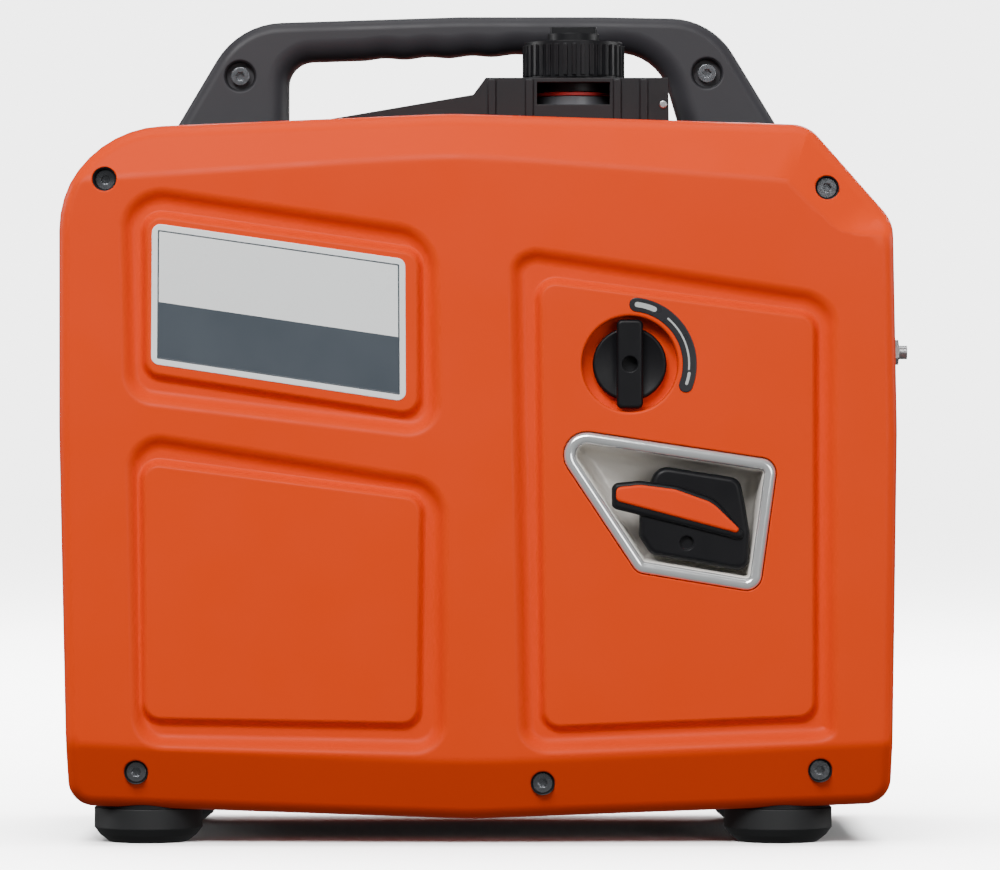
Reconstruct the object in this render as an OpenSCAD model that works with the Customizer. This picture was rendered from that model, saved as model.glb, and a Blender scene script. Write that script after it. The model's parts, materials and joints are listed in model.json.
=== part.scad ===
// Suitcase-style inverter generator with recoil starter, fuel tank and control panel.
// Millimetres, +Z up. The recoil starter faces -Y, the control panel faces +X, the exhaust faces -X.
// The origin lies under the middle of the bounding box, on the ground plane.

/* [Body] */
// Length over the two moulded covers
body_l = 460; // [458:1:464]
// Depth over the two moulded covers
body_d = 270; // [268:1:274]
// Thickness of the moulded walls
wall = 2.5; // [2.2:0.1:2.8]
// Depth of the styling grooves
groove_d = 5; // [3:0.5:5]
// Backward lean of the upper cover band, in degrees
top_lean = 27; // [22:1:30]
// Backward lean of the lower cover band, in degrees
low_lean = 28; // [20:1:28]

/* [Handle and fuel] */
// Depth of the carrying handle
handle_d = 34; // [30:1:35]
// Radius of the fuel cap
cap_r = 28.8; // [27:0.2:29]
// Number of grip ribs around the fuel cap
cap_ribs = 36; // [24:1:40]

/* [Controls] */
// Radius of the engine dial's disc
dial_r = 20.5; // [18:0.5:21]
// Radius of the rope groove in the starter reel
reel_r = 33; // [31:0.5:33]
// Radius of the starter rope
rope_r = 1.9; // [1.5:0.1:2]

/* [Engine] */
// Radius of the cylinder bore
bore_r = 24; // [22:0.5:25]
// Crank radius, half of the stroke
crank_r = 18; // [16:1:18]
// Number of blades on the cooling fan
fan_blades = 16; // [12:1:20]
// Number of fins on the cylinder
fins = 6; // [4:1:6]

/* [Hidden] */
$fn = 48;
big = 600;                 // longer than the object
gap = 0.3;                 // clearance between pieces that only sit beside each other
run = 0.05;                // radial clearance of a running fit
bolt_reach = 10;           // how far the earth terminal stands out of the +X end
x_left = -(body_l + bolt_reach) / 2;
x_right = x_left + body_l;
face = -body_d / 2;        // plane of the starter-side face
seam = -73;                // where the starter-side cover meets the centre frame
spine = 72.7;              // half depth of the centre frame
end_z0 = 58;               // height at which tray and end frames meet
split_l = -186;            // where the top cover meets the exhaust end
split_r = 168;             // where the top cover meets the control end
tray_z = 25;               // top of the base tray's floor

orange = [0.71, 0.10, 0.02];
black = [0.03, 0.03, 0.035];
grey = [0.18, 0.18, 0.2];
steel = [0.62, 0.63, 0.65];
cast = [0.48, 0.49, 0.5];
red = [0.6, 0.03, 0.02];

// ---- outlines, as corner points [x, z] seen from the starter side --------------------------------

body_corners = [[x_left + 4.3, 21.4], [-9, 13.8], [x_right - 2.8, 22.5], [x_right, 228],
                [x_right - 2.2, 344.5], [x_right - 48.2, 397], [-20, 402.8],
                [x_left, 393.8], [x_left, 228]];
body_radii = [14, 200, 14, 300, 20, 20, 300, 58, 300];

upper_recess = [[-198.4, 244.9], [-25.9, 224.1], [-27.5, 323.7], [-39, 339.1], [-184.7, 361],
                [-200.5, 347.8]];
upper_pad = [[-187.4, 259.1], [-37.4, 236.1], [-37.4, 325.5], [-187.6, 347.2]];
lower_recess = [[-193.4, 58.7], [-22.6, 55.4], [-22.6, 188.5], [-32.4, 201.6], [-184.7, 225.7],
                [-196.7, 214.7]];
lower_pad = [[-188, 69.6], [-37.9, 66.9], [-36.3, 191.3], [-189, 211.1]];
right_recess = [[18, 59.8], [28.4, 52], [183.3, 58.1], [191, 61.4], [191, 293.1], [180.6, 303.5],
                [23.4, 327.6], [13, 320.4]];
right_pad = [[31, 65], [179.5, 70.9], [179.5, 290.7], [28.5, 310.6]];
door_corners = [[32, 66], [179.5, 70.9], [179.5, 290.7], [32, 310]];
plate_corners = [[-184.5, 264.5], [-44.2, 243.5], [-44.6, 322.3], [-184, 342.3]];
bezel_corners = [[82, 151.8], [148.3, 140.3], [158.7, 211.5], [28.8, 231.1]];
bezel_radii = [7, 7, 7, 12];
handle_corners = [[-185, 390], [-142.7, 461], [-16, 465], [64, 465], [128.2, 463.8], [173, 390]];
handle_radii = [0.5, 25, 150, 150, 25, 0.5];
finger_gap = [[-114, 380], [-114, 439.4], [97, 446], [119, 380]];
finger_radii = [0.5, 14, 30, 0.5];

// Facets cut from the cover's face: [crease point, direction the facet runs out to, lean].
facets = [[[-15, 379.6], 93.8, top_lean], [[-15, 379.6], 85.4, top_lean],
          [[-9, 45.5], -92.9, low_lean], [[-9, 45.5], -87.2, low_lean],
          [[x_left + 6, 200], 180, 45], [[x_right - 6, 200], 0, 45]];
corner_facets = [[[164.2, 365.3], 45, top_lean], [[192.1, 337.4], 86.6, 60]];

cover_screw_at = [[-209.8, 366], [186.6, 361.5], [-192.9, 40.5], [30.5, 34.5], [182.8, 41.5]];
foot_at = [[-188.6, 86], [161.6, 86], [-188.6, -86], [161.6, -86]];
foot_r = 30;
screw_floor = -119.5;      // bottom of the cover screws' pockets
handle_screw_at = [[-141.5, 430.8], [125.3, 432.5]];
dial_at = [78.2, 264.6];
grip_at = [107, 178];
grip_corners = [[90, 160], [143, 150.5], [144, 172], [141.5, 186], [137, 199.8], [92.5, 207],
                [84, 186], [83.5, 170]];
grip_radii = [3, 3, 6, 6, 5, 6, 6, 3];
// The flat inlay on the grip and the wider rim that holds it.
inlay_corners = [[70.6, 189.6], [136, 172.2], [141, 171.6], [124.5, 191.4], [104, 198.6], [70.6, 198.6]];
inlay_radii = [3, 7, 1.7, 16, 30, 3];
rim_corners = [[68.4, 185], [137, 167.5], [143.6, 168.6], [126, 193.3], [104.6, 200.8], [68.4, 200.8]];
rim_radii = [3.5, 7.5, 2.8, 18, 30, 4];
crank_at = [30, 143];
cap_at = [48.5, -40];
handle_y = 12;
handle_y0 = handle_y - handle_d / 2;
handle_y1 = handle_y + handle_d / 2;
panel_x = 211;             // back face of the control panel
panel_y = 57.7;            // half width of the control panel
outlet_y = 28;             // mains outlets sit this far either side of the middle
outlet_z = 115;
outlet_r = 22;
parallel_y = 14;           // parallel sockets sit this far either side of the middle
parallel_z = 165;
dc_at = [-28, 205];        // [y, z] of the low voltage socket
breaker_at = [-28, 250];   // [y, z] of the breaker button
lens_y = [-24, 0, 24];
lens_z = 295;
earth_at = [-65.5, 272];   // [y, z] of the earth terminal
louvre_pitch = 14;
exhaust_at = [-20, 190];   // [y, z] of the exhaust outlet
muffler_at = [-150, 190];
muffler_r = 48;
bore_tilt = -25;           // lean of the cylinder away from the carburettor
rod_l = 62;
piston_pin = crank_r + rod_l;
bore_y = 35;               // the cylinder's axis lies in this plane
shaft_r = 8;               // radius of the crankshaft's ends
housing_lugs = [50, 170, 290];   // directions of the starter housing's fixings around the crank
door_pin = [35.3, face + 1];     // [x, y] of the service door's hinge line, before mirroring
door_seat = 1.8;                 // depth of the door's seat behind the face
latch_at = [164, 187];           // [x, z] of the door's latch
rocker_at = [208, 250];          // [x, z] of the rocker's pivot

// ---- two-dimensional helpers ---------------------------------------------------------------------

function unit(v) = v / norm(v);
function wrap(a) = a > 180 ? a - 360 : a < -180 ? a + 360 : a;
function at(p, i) = p[(i + len(p)) % len(p)];

// The corner at b, between a and c, as an arc of radius r in n steps.
function corner_arc(a, b, c, r, n) =
  let (u = unit(a - b), v = unit(c - b), half = acos(u * v) / 2, mid = unit(u + v),
       o = b + mid * r / sin(half), s = b + u * r / tan(half) - o, e = b + v * r / tan(half) - o,
       a0 = atan2(s.y, s.x), sweep = wrap(atan2(e.y, e.x) - a0))
  [for (i = [0:n]) o + r * [cos(a0 + sweep * i / n), sin(a0 + sweep * i / n)]];

function rounded(p, r, n = 4) =
  [for (i = [0:len(p) - 1]) each corner_arc(at(p, i - 1), p[i], at(p, i + 1), r[i], n)];

// A convex outline, listed counter-clockwise, moved inwards by d.
function inset(p, d) = [for (i = [0:len(p) - 1])
  let (a = unit(p[i] - at(p, i - 1)), b = unit(at(p, i + 1) - p[i]),
       na = [-a.y, a.x], nb = [-b.y, b.x])
  p[i] + (na + nb) * d / (1 + na * nb)];

function all_radii(p, r) = [for (q = p) r];
function outline(d) = rounded(inset(body_corners, d), [for (r = body_radii) r > 20 ? r : r - d / 2], 6);
function soft(p, d, r) = rounded(inset(p, d), all_radii(p, r));
function sector(r0, r1, a0, a1, n) = concat(
  [for (i = [0:n]) r1 * [cos(a0 + (a1 - a0) * i / n), sin(a0 + (a1 - a0) * i / n)]],
  [for (i = [n:-1:0]) r0 * [cos(a0 + (a1 - a0) * i / n), sin(a0 + (a1 - a0) * i / n)]]);
function spiral(r0, r1, turns, t, n) = concat(
  [for (i = [0:n]) (r0 + (r1 - r0) * i / n) * [cos(360 * turns * i / n), sin(360 * turns * i / n)]],
  [for (i = [n:-1:0]) (r0 + t + (r1 - r0) * i / n) * [cos(360 * turns * i / n), sin(360 * turns * i / n)]]);

// ---- placing helpers -----------------------------------------------------------------------------

// Extrudes an [x, z] outline from y0 to y1.
module slab(y0, y1) {
  translate([0, y1, 0]) rotate([90, 0, 0]) linear_extrude(y1 - y0) children();
}

// Extrudes a [y, z] outline from x0 to x1.
module slab_x(x0, x1) {
  translate([x0, 0, 0]) rotate([90, 0, 90]) linear_extrude(x1 - x0) children();
}

// A round bar along Y at the [x, z] point p.
module bar_y(p, r, y0, y1) {
  translate([p.x, y1, p.y]) rotate([90, 0, 0]) cylinder(h = y1 - y0, r = r);
}

// A round bar along X at the [y, z] point p.
module bar_x(p, r, x0, x1) {
  translate([x0, p.x, p.y]) rotate([0, 90, 0]) cylinder(h = x1 - x0, r = r);
}

module bar_z(p, r, z0, z1) {
  translate([p.x, p.y, z0]) cylinder(h = z1 - z0, r = r);
}

module box(a, b) {
  translate(a) cube(b - a);
}

module centre_frame() {
  slab(-spine, spine) polygon(outline(0));
}

module frame_ring(t) {
  difference() {
    centre_frame();
    slab(-spine - 1, spine + 1) polygon(outline(t));
  }
}

// Local axes of the cylinder: the crank axis at the origin, +Z up the bore.
module along_bore() {
  translate([crank_at.x, bore_y, crank_at.y]) rotate([0, bore_tilt, 0]) children();
}

module tube(r_out, r_in, z0, z1) {
  difference() {
    translate([0, 0, z0]) cylinder(h = z1 - z0, r = r_out);
    translate([0, 0, z0 - 1]) cylinder(h = z1 - z0 + 2, r = r_in);
  }
}

// ---- the two moulded covers ----------------------------------------------------------------------

module beyond(f, d) {
  translate([f[0].x, face, f[0].y]) rotate([0, -f[1], 0]) rotate([0, 0, f[2]])
    translate([-big, d - 2 * big, -big]) cube(2 * big);
}

module cover_block(d, y1) {
  difference() {
    slab(face + d, y1) polygon(outline(d));
    for (f = facets) beyond(f, d);
    intersection() {
      beyond(corner_facets[0], d);
      beyond(corner_facets[1], d);
    }
  }
}

module groove(outer, inner, grow, y1) {
  difference() {
    slab(face - 1, y1) polygon(soft(outer, -grow, 6 + grow));
    slab(face - 2, y1 + 1) polygon(soft(inner, grow, 6));
  }
}

module grooves(grow, y1) {
  groove(upper_recess, upper_pad, grow, y1);
  groove(lower_recess, lower_pad, grow, y1);
  groove(right_recess, right_pad, grow, y1);
}

// Shell shared by both covers: facets, three grooves and five screw pockets.
module cover_shell() {
  difference() {
    union() {
      difference() {
        cover_block(0, seam);
        difference() {
          cover_block(wall, seam + 1);
          grooves(wall, face + groove_d + wall);
        }
        box([x_left + 7, -117, 0], [x_right - 7, seam + 1, tray_z + 3]);
      }
      intersection() {
        cover_block(0, seam);
        for (p = cover_screw_at) bar_y(p, 9.5, face, screw_floor + 4);
      }
    }
    grooves(0, face + groove_d);
    for (p = cover_screw_at) {
      bar_y(p, 6.6, face - 1, screw_floor);
      bar_y(p, 2.4, face, -100);
    }
  }
}

module starter_side_cover() {
  color(orange) difference() {
    union() {
      cover_shell();
      bar_y(dial_at, 28.8, face, -119.5);
      slab(face + wall, -129.5) polygon(rounded(inset(bezel_corners, -2.5), bezel_radii));
    }
    slab(face - 1, face + 1) polygon(soft(plate_corners, 0, 4));
    bar_y(dial_at, 26.3, face - 1, -122);
    bar_y(dial_at, 5, face, -110);
    slab(face - 1, face + 0.6) dial_arc(0.2);
    slab(face - 1, face + 3) polygon(rounded(bezel_corners, bezel_radii));
    slab(face, -120) polygon(rounded(inset(bezel_corners, 4), bezel_radii));
  }
}

module service_side_cover() {
  color(orange) mirror([0, 1, 0]) difference() {
    cover_shell();
    slab(face - 1, face + door_seat) polygon(soft(door_corners, 2, 4));
    slab(face, -120) polygon(soft(door_corners, 7, 3));
    box([door_pin.x - 1.8, face - 1, 68.1], [door_pin.x + 4, face + door_seat, 307.1]);
    translate([door_pin.x, door_pin.y, 63.5]) cylinder(h = 249, r = 0.5 + run);
  }
}

// Door over the air cleaner and oil filler. It swings about a barrel along its edge nearest the
// middle, on a thin pin at each end.
module service_door() {
  color(orange) mirror([0, 1, 0]) {
    difference() {
      union() {
        intersection() {
          slab(face, face + door_seat - gap) polygon(soft(door_corners, 2 + gap, 4));
          box([door_pin.x, face - 1, 0], [x_right, face + 2, 400]);
        }
        translate([door_pin.x, door_pin.y, 78]) cylinder(h = 220, r = 0.7);
        translate([door_pin.x, door_pin.y, 64]) cylinder(h = 248, r = 0.5);
        difference() {
          slab(face + 1.4, face + 6) polygon(soft(door_corners, 9, 3));
          slab(face + 1.3, face + 7) polygon(soft(door_corners, 12, 2));
        }
        bar_y(latch_at, 8, face + 1, face + 6);
      }
      bar_y(latch_at, 4 + run, face - 1, face + 7);
    }
  }
}

// Quarter-turn latch with a coin slot; its tongue reaches behind the cover's rim.
module door_latch() {
  color(black) mirror([0, 1, 0]) difference() {
    union() {
      bar_y(latch_at, 4, face + 0.3, face + 9);
      box([latch_at.x - 7, face + 9, latch_at.y - 3], [latch_at.x + 20, face + 11, latch_at.y + 3]);
    }
    box([latch_at.x - 0.7, face, latch_at.y - 5], [latch_at.x + 0.7, face + 1.8, latch_at.y + 5]);
  }
}

module cover_screw() {
  difference() {
    bar_y([0, 0], 5.5, screw_floor - 5.4, screw_floor - 0.1);
    translate([0, screw_floor - 2.4, 0]) rotate([90, 0, 0]) cylinder(h = 4, r = 2.6, $fn = 6);
  }
  bar_y([0, 0], 2, screw_floor - 0.1, -84);
}

module cover_screws() {
  color(steel) for (p = cover_screw_at) {
    translate([p.x, 0, p.y]) cover_screw();
    translate([p.x, 0, p.y]) mirror([0, 1, 0]) cover_screw();
  }
}

// ---- centre frame: tray, ends and top ------------------------------------------------------------

// Lugs, front and back, that the cover screws cut into.
module screw_lugs(list) {
  for (i = list, s = [0, 1]) mirror([0, s, 0]) difference() {
    bar_y(cover_screw_at[i], 6, -103, -spine + 4);
    bar_y(cover_screw_at[i], 2.1, -104, -spine);
  }
}

module base_tray() {
  color(black) {
    difference() {
      intersection() {
        centre_frame();
        box([x_left - 1, -big, 0], [x_right + 1, big, end_z0]);
      }
      slab(-spine - 1, spine + 1) intersection() {
        polygon(outline(3));
        translate([x_left, tray_z]) square([body_l, 60]);
      }
    }
    intersection() {
      slab(-116.5, 116.5) polygon(outline(wall + 0.5));
      box([x_left + 8, -117, 0], [x_right - 8, 117, tray_z]);
    }
    for (p = foot_at) bar_z(p, foot_r - 1, 19, tray_z);
    screw_lugs([2, 3, 4]);
    for (i = [2, 3, 4], s = [0, 1]) mirror([0, s, 0])
      box([cover_screw_at[i].x - 5, -100, tray_z - 1],
          [cover_screw_at[i].x + 5, -78, cover_screw_at[i].y - 4]);
  }
}

module rubber_feet() {
  color(black) for (p = foot_at) translate([p.x, p.y, 0]) {
    translate([0, 0, 8]) cylinder(h = 11, r = foot_r);
    translate([0, 0, 4]) cylinder(h = 4, r1 = foot_r - 3, r2 = foot_r);
    cylinder(h = 4, r1 = foot_r - 8, r2 = foot_r - 3);
  }
}

module top_cover() {
  color(black) {
    difference() {
      union() {
        difference() {
          union() {
            intersection() {
              frame_ring(3);
              box([split_l, -spine, 340], [split_r, spine, 410]);
            }
            slab(-spine, -8)
              polygon([[-105, 399.5], [101.5, 399.5], [101, 425.5], [-1, 425.5], [-8, 416]]);
          }
          box([4, 3 - spine, 390], [96, -11, 422]);
        }
        bar_z(cap_at, 27, 396, 423);
      }
      bar_z(cap_at, 23.5, 380, 430);
      box([27.7, -spine - 1, 410.5], [68.4, -50, 423]);
    }
    for (x = [-150, 130], y = [-60, 60]) bar_z([x, y], 6, 386.2, 396);
  }
}

module control_end_frame() {
  color(black) {
    difference() {
      union() {
        intersection() {
          frame_ring(3);
          box([split_r + gap, -spine, end_z0 + gap], [x_right + 1, spine, 410]);
        }
        intersection() {
          centre_frame();
          box([209, -spine, end_z0 + gap], [x_right + 1, spine, 344]);
        }
      }
      box([200, -panel_y - gap, 72], [x_right + 1, panel_y + gap, 328]);
      bar_x(earth_at, 4, 200, x_right + 5);
    }
    difference() {
      box([205, -spine + 4, 68], [209, spine - 4, 332]);
      box([200, -52, 78], [210, 52, 322]);
      bar_x(earth_at, 4, 200, 210);
    }
    screw_lugs([1]);
    for (s = [0, 1]) mirror([0, s, 0]) {
      box([184, -84, 364], [189, -spine + 4, 377]);
      box([184, -spine, 364], [189, -spine + 4, 386]);
    }
  }
}

module exhaust_end_panel() {
  color(black) {
    difference() {
      intersection() {
        frame_ring(3);
        box([x_left - 1, -spine, end_z0 + gap], [split_l - gap, spine, 410]);
      }
      for (i = [0:15]) {
        z = 100 + louvre_pitch * i;
        near = abs(z + 3 - exhaust_at.y) < 32;
        box([x_left - 1, near ? exhaust_at.x + 34 : -52, z], [x_left + 5, 52, z + 6]);
      }
      bar_x(exhaust_at, 20, x_left - 1, x_left + 5);
    }
    screw_lugs([0]);
    for (s = [0, 1]) mirror([0, s, 0]) {
      box([-212, -84, 368], [-207, -spine + 4, 376]);
      box([-212, -spine, 368], [-207, -spine + 4, 382]);
    }
  }
}

// ---- carrying handle -----------------------------------------------------------------------------

module handle_outline() {
  difference() {
    polygon(rounded(handle_corners, handle_radii, 8));
    polygon(rounded(finger_gap, finger_radii, 8));
    for (i = [0:3]) translate([-57 + 25 * i, 428.8]) circle(r = 13);
    polygon(outline(-0.1));
  }
}

module handle_half(y0, y1, pocket0, pocket1) {
  difference() {
    slab(y0, y1) handle_outline();
    for (p = handle_screw_at) bar_y(p, 3.2, y0 - 1, y1 + 1);
    slab(pocket0, pocket1) {
      translate([-95, 447]) square([185, 11]);
      polygon([[-168, 408], [-122, 408], [-122, 418], [-160, 418]]);
      polygon([[124, 408], [152, 408], [146, 418], [124, 418]]);
    }
  }
}

module handle_front_half() {
  color(grey) difference() {
    handle_half(handle_y0, handle_y, handle_y0 + 4, handle_y + 1);
    for (p = handle_screw_at) bar_y(p, 9, handle_y0 - 1, handle_y0 + 6);
  }
}

module handle_rear_half() {
  color(grey) handle_half(handle_y + 0.1, handle_y1, handle_y, handle_y1 - 4);
}

module handle_screws() {
  color(steel) for (p = handle_screw_at) {
    difference() {
      bar_y(p, 5.2, handle_y0 + 2, handle_y0 + 6);
      translate([p.x, handle_y0 + 4.5, p.y]) rotate([90, 0, 0]) cylinder(h = 4, r = 2.6, $fn = 6);
    }
    bar_y(p, 3, handle_y0 + 6, handle_y1 - 1);
  }
}

// ---- plates and trim on the starter side ---------------------------------------------------------

module name_plate() {
  color([0.8, 0.82, 0.84]) slab(face + 0.2, face + 1) polygon(soft(plate_corners, 0.3, 4));
}

module dial_arc(grow) {
  translate(dial_at) polygon(sector(28.5 - grow, 37 + grow, -25 - grow, 90 + grow, 24));
}

module dial_scale() {
  color(black) slab(face + 0.1, face + 0.6) dial_arc(0);
}

module starter_bezel() {
  color(steel) difference() {
    slab(face, face + 3) polygon(rounded(inset(bezel_corners, 0.2), bezel_radii));
    slab(face - 1, face + 4) polygon(rounded(inset(bezel_corners, 5.5), bezel_radii));
  }
}

module starter_pan() {
  color(grey) difference() {
    slab(face + 3.1, -98) polygon(rounded(inset(bezel_corners, 4.3), bezel_radii));
    slab(face, -100) polygon(rounded(inset(bezel_corners, 6.3), [4, 4, 4, 9]));
    bar_y(grip_at, 5, -105, -90);
  }
}

module rope_guide() {
  color(black) difference() {
    union() {
      bar_y(grip_at, 4.9, -103, -88);
      bar_y(grip_at, 7, -97.9, -88);
    }
    bar_y(grip_at, rope_r + 0.4, -110, -80);
  }
}

// ---- engine dial ---------------------------------------------------------------------------------

module engine_dial() {
  color(black) difference() {
    union() {
      bar_y(dial_at, dial_r, -127.5, -122.3);
      slab(face + 0.8, -127.5) translate(dial_at)
        polygon(rounded([[-7, -25], [7, -25], [7, 25], [-7, 25]], [2.5, 2.5, 2.5, 2.5]));
      bar_y(dial_at, 5 - run, -122.3, -96);
    }
    bar_y(dial_at, 4, face, -130);
  }
}

// ---- recoil starter ------------------------------------------------------------------------------

module grip_inlay(d) {
  polygon(rounded(inset(inlay_corners, -d), inlay_radii, 6));
}

module starter_grip() {
  color(black) difference() {
    union() {
      slab(-130, -114) polygon(rounded(grip_corners, grip_radii));
      slab(-131.5, -121) polygon(rounded(rim_corners, rim_radii, 6));
      bar_y(grip_at, 8, -115, -103.5);
    }
    slab(-132, -127) grip_inlay(0.1);
    bar_y(grip_at, rope_r + 0.2, -122, -100);
  }
}

module grip_insert() {
  color(orange) slab(-133.5, -127.1) grip_inlay(0);
}

module starter_rope() {
  bend = 8;
  y_reel = -77;
  wound_r = grip_at.y - crank_at.y;
  color([0.05, 0.05, 0.05]) {
    translate([crank_at.x, y_reel, crank_at.y]) rotate([90, 0, 0]) rotate([0, 0, 90])
      rotate_extrude(angle = 330) translate([wound_r, 0]) circle(r = rope_r);
    bar_x([y_reel, crank_at.y + wound_r], rope_r, crank_at.x, grip_at.x - bend);
    translate([grip_at.x - bend, y_reel - bend, grip_at.y])
      rotate_extrude(angle = 90) translate([bend, 0]) circle(r = rope_r);
    bar_y(grip_at, rope_r, -121.5, y_reel - bend);
  }
}

module starter_reel() {
  color(black) translate([crank_at.x, 0, crank_at.y]) difference() {
    union() {
      bar_y([0, 0], reel_r, -83, -71);
      bar_y([0, 0], reel_r + 7, -83, -81);
      bar_y([0, 0], reel_r + 7, -73, -71);
    }
    bar_y([0, 0], 6 + run, -84, -70);
    for (a = [0:60:300]) bar_y(22 * [cos(a), sin(a)], 6, -84, -70);
  }
}

module recoil_spring() {
  color(steel) translate([crank_at.x, 0, crank_at.y])
    slab(-91, -84.5) polygon(spiral(8, 34, 6, 0.6, 108));
}

module starter_housing() {
  color(black) translate([crank_at.x, 0, crank_at.y]) {
    difference() {
      bar_y([0, 0], 76, -94, -58);
      bar_y([0, 0], 73, -92, -57);
      box([60, -84, 28], [90, -70, 42]);
      for (a = [0:20:340]) rotate([0, a, 0]) bar_y([58, 0], 7, -95, -90);
    }
    bar_y([0, 0], 6, -93, -69);
    for (a = housing_lugs) rotate([0, -a, 0]) bar_y([72, 0], 4.5, -90, -0.1);
  }
}

// ---- control end ---------------------------------------------------------------------------------

module control_panel() {
  color(grey) difference() {
    union() {
      slab_x(panel_x, panel_x + 3) translate([-panel_y, 72.3]) square([2 * panel_y, 255.4]);
      for (y = [15.4, 36.6]) box([204, y, rocker_at.y - 4], [panel_x + 1, y + 2, rocker_at.y + 4]);
    }
    translate([rocker_at.x, 50, rocker_at.y]) rotate([90, 0, 0]) cylinder(h = 50, r = 1.5 + run);
    for (s = [-1, 1]) bar_x([s * outlet_y, outlet_z], outlet_r + 0.1, 200, x_right);
    for (s = [-1, 1]) bar_x([s * parallel_y, parallel_z], 5.1, 200, x_right);
    bar_x(dc_at, 12.1, 200, x_right);
    box([200, 13.9, 196.9], [x_right, 42.1, 213.1]);
    bar_x(breaker_at, 6.3, 200, x_right);
    box([200, 17.7, 236.2], [x_right, 36.3, 263.8]);
    for (y = lens_y) bar_x([y, lens_z], 4.1, 200, x_right);
  }
}

module ac_outlets() {
  color(black) for (s = [-1, 1]) difference() {
    union() {
      bar_x([s * outlet_y, outlet_z], outlet_r, 192, panel_x + 5);
      bar_x([s * outlet_y, outlet_z], outlet_r + 3, panel_x + 3.1, panel_x + 5);
    }
    bar_x([s * outlet_y, outlet_z], 18, 200, x_right);
    for (a = [90, 210, 330])
      bar_x([s * outlet_y + 8 * cos(a), outlet_z + 8 * sin(a)], 2.4, 194, x_right);
  }
  color(black) for (s = [-1, 1]) {
    for (t = [-1, 1]) translate([0, s * outlet_y + t * 24.6, 0])
      box([panel_x + 3.05, -1.2, outlet_z + 26], [panel_x + 11, 1.2, outlet_z + 34]);
    translate([panel_x + 8, s * outlet_y, outlet_z + 30]) rotate([90, 0, 0])
      cylinder(h = 48, r = 1.25, center = true);
  }
}

// A spring lid that hangs over an outlet from the pin at its top edge.
module outlet_lid(y) {
  hinge_x = panel_x + 8;
  hinge_z = outlet_z + 30;
  difference() {
    union() {
      box([panel_x + 5.4, y - 23, outlet_z - 24], [panel_x + 8.4, y + 23, outlet_z + 29]);
      translate([hinge_x, y + 23, hinge_z]) rotate([90, 0, 0]) cylinder(h = 46, r = 3);
    }
    translate([hinge_x, y + 30, hinge_z]) rotate([90, 0, 0]) cylinder(h = 60, r = 1.3);
  }
}

module left_outlet_lid() {
  color(grey) outlet_lid(-outlet_y);
}

module right_outlet_lid() {
  color(grey) outlet_lid(outlet_y);
}

module dc_outlet() {
  color(black) difference() {
    union() {
      bar_x(dc_at, 12, 190, panel_x + 4);
      bar_x(dc_at, 15, panel_x + 3.1, panel_x + 5);
    }
    bar_x(dc_at, 9.5, 194, x_right);
  }
}

module usb_ports() {
  color(black) difference() {
    box([200, 14, 197], [panel_x + 4, 42, 213]);
    for (y = [18, 31]) box([203, y, 199.5], [x_right, y + 7, 210.5]);
  }
}

module breaker_button() {
  color(red) {
    bar_x(breaker_at, 6, 204, panel_x + 6);
    bar_x(breaker_at, 9, 201, 204);
  }
}

module eco_rocker() {
  color(black) {
    difference() {
      box([205, 18, 238.5], [panel_x + 5.5, 36, 261.5]);
      translate([panel_x + 12, 40, rocker_at.y]) rotate([90, 0, 0]) cylinder(h = 30, r = 9);
    }
    for (y = [15.6, 36]) translate([rocker_at.x, y + 2.4, rocker_at.y]) rotate([90, 0, 0])
      cylinder(h = 2.4, r = 1.5);
  }
}

module indicator_lenses() {
  color([0.1, 0.5, 0.15]) for (y = lens_y) translate([207, y, lens_z]) rotate([0, 90, 0]) {
    cylinder(h = 7, r = 4);
    translate([0, 0, 7]) cylinder(h = 2, r1 = 4, r2 = 2.4);
  }
}

module parallel_sockets() {
  color(red) for (s = [-1, 1]) difference() {
    union() {
      bar_x([s * parallel_y, parallel_z], 5, 196, panel_x + 4);
      bar_x([s * parallel_y, parallel_z], 7, panel_x + 3.1, panel_x + 7);
    }
    bar_x([s * parallel_y, parallel_z], 2.2, 199, x_right);
  }
}

// Stud with a hexagon flange; the free end takes a ring terminal.
module earth_terminal() {
  color(steel) {
    bar_x(earth_at, 3.4, 206, x_right + 0.3);
    translate([x_right + 0.2, earth_at.x, earth_at.y]) rotate([0, 90, 0]) cylinder(h = 5, r = 7, $fn = 6);
    bar_x(earth_at, 3.9, x_right + 5.1, x_right + bolt_reach);
  }
}

// ---- fuel system ---------------------------------------------------------------------------------

module tank_plan(d) {
  p = [[-160 + d, -68 + d], [140 - d, -68 + d], [140 - d, 68 - d], [-160 + d, 68 - d]];
  polygon(rounded(p, all_radii(p, 22 - d), 6));
}

module fuel_tank() {
  color(grey) {
    difference() {
      union() {
        translate([0, 0, 303]) linear_extrude(83) tank_plan(0);
        bar_z(cap_at, 21.5, 385, 416);
      }
      translate([0, 0, 305]) linear_extrude(79) tank_plan(2);
      bar_z(cap_at, 18, 380, 420);
      bar_z([-20, 0], 4, 300, 310);
    }
    difference() {
      translate([0, 0, 343]) linear_extrude(4) tank_plan(-4);
      translate([0, 0, 342]) linear_extrude(6) tank_plan(1);
    }
  }
}

module fuel_cap() {
  color(black) difference() {
    union() {
      bar_z(cap_at, 22.3, 418.5, 427);
      bar_z(cap_at, cap_r - 1.2, 426.3, 447);
      for (i = [0:cap_ribs - 1]) translate([cap_at.x, cap_at.y, 427.5])
        rotate([0, 0, 360 * i / cap_ribs]) translate([cap_r - 2, -1.1, 0]) cube([2, 2.2, 17.5]);
      difference() {
        bar_z(cap_at, 16.5, 405, 419);
        bar_z(cap_at, 14, 404, 418);
      }
    }
    bar_z(cap_at, 3 + run, 440, 448);
  }
}

module cap_gasket() {
  color(red) translate([cap_at.x, cap_at.y, 0]) tube(22.3, 16.8, 416.3, 418.2);
}

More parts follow.
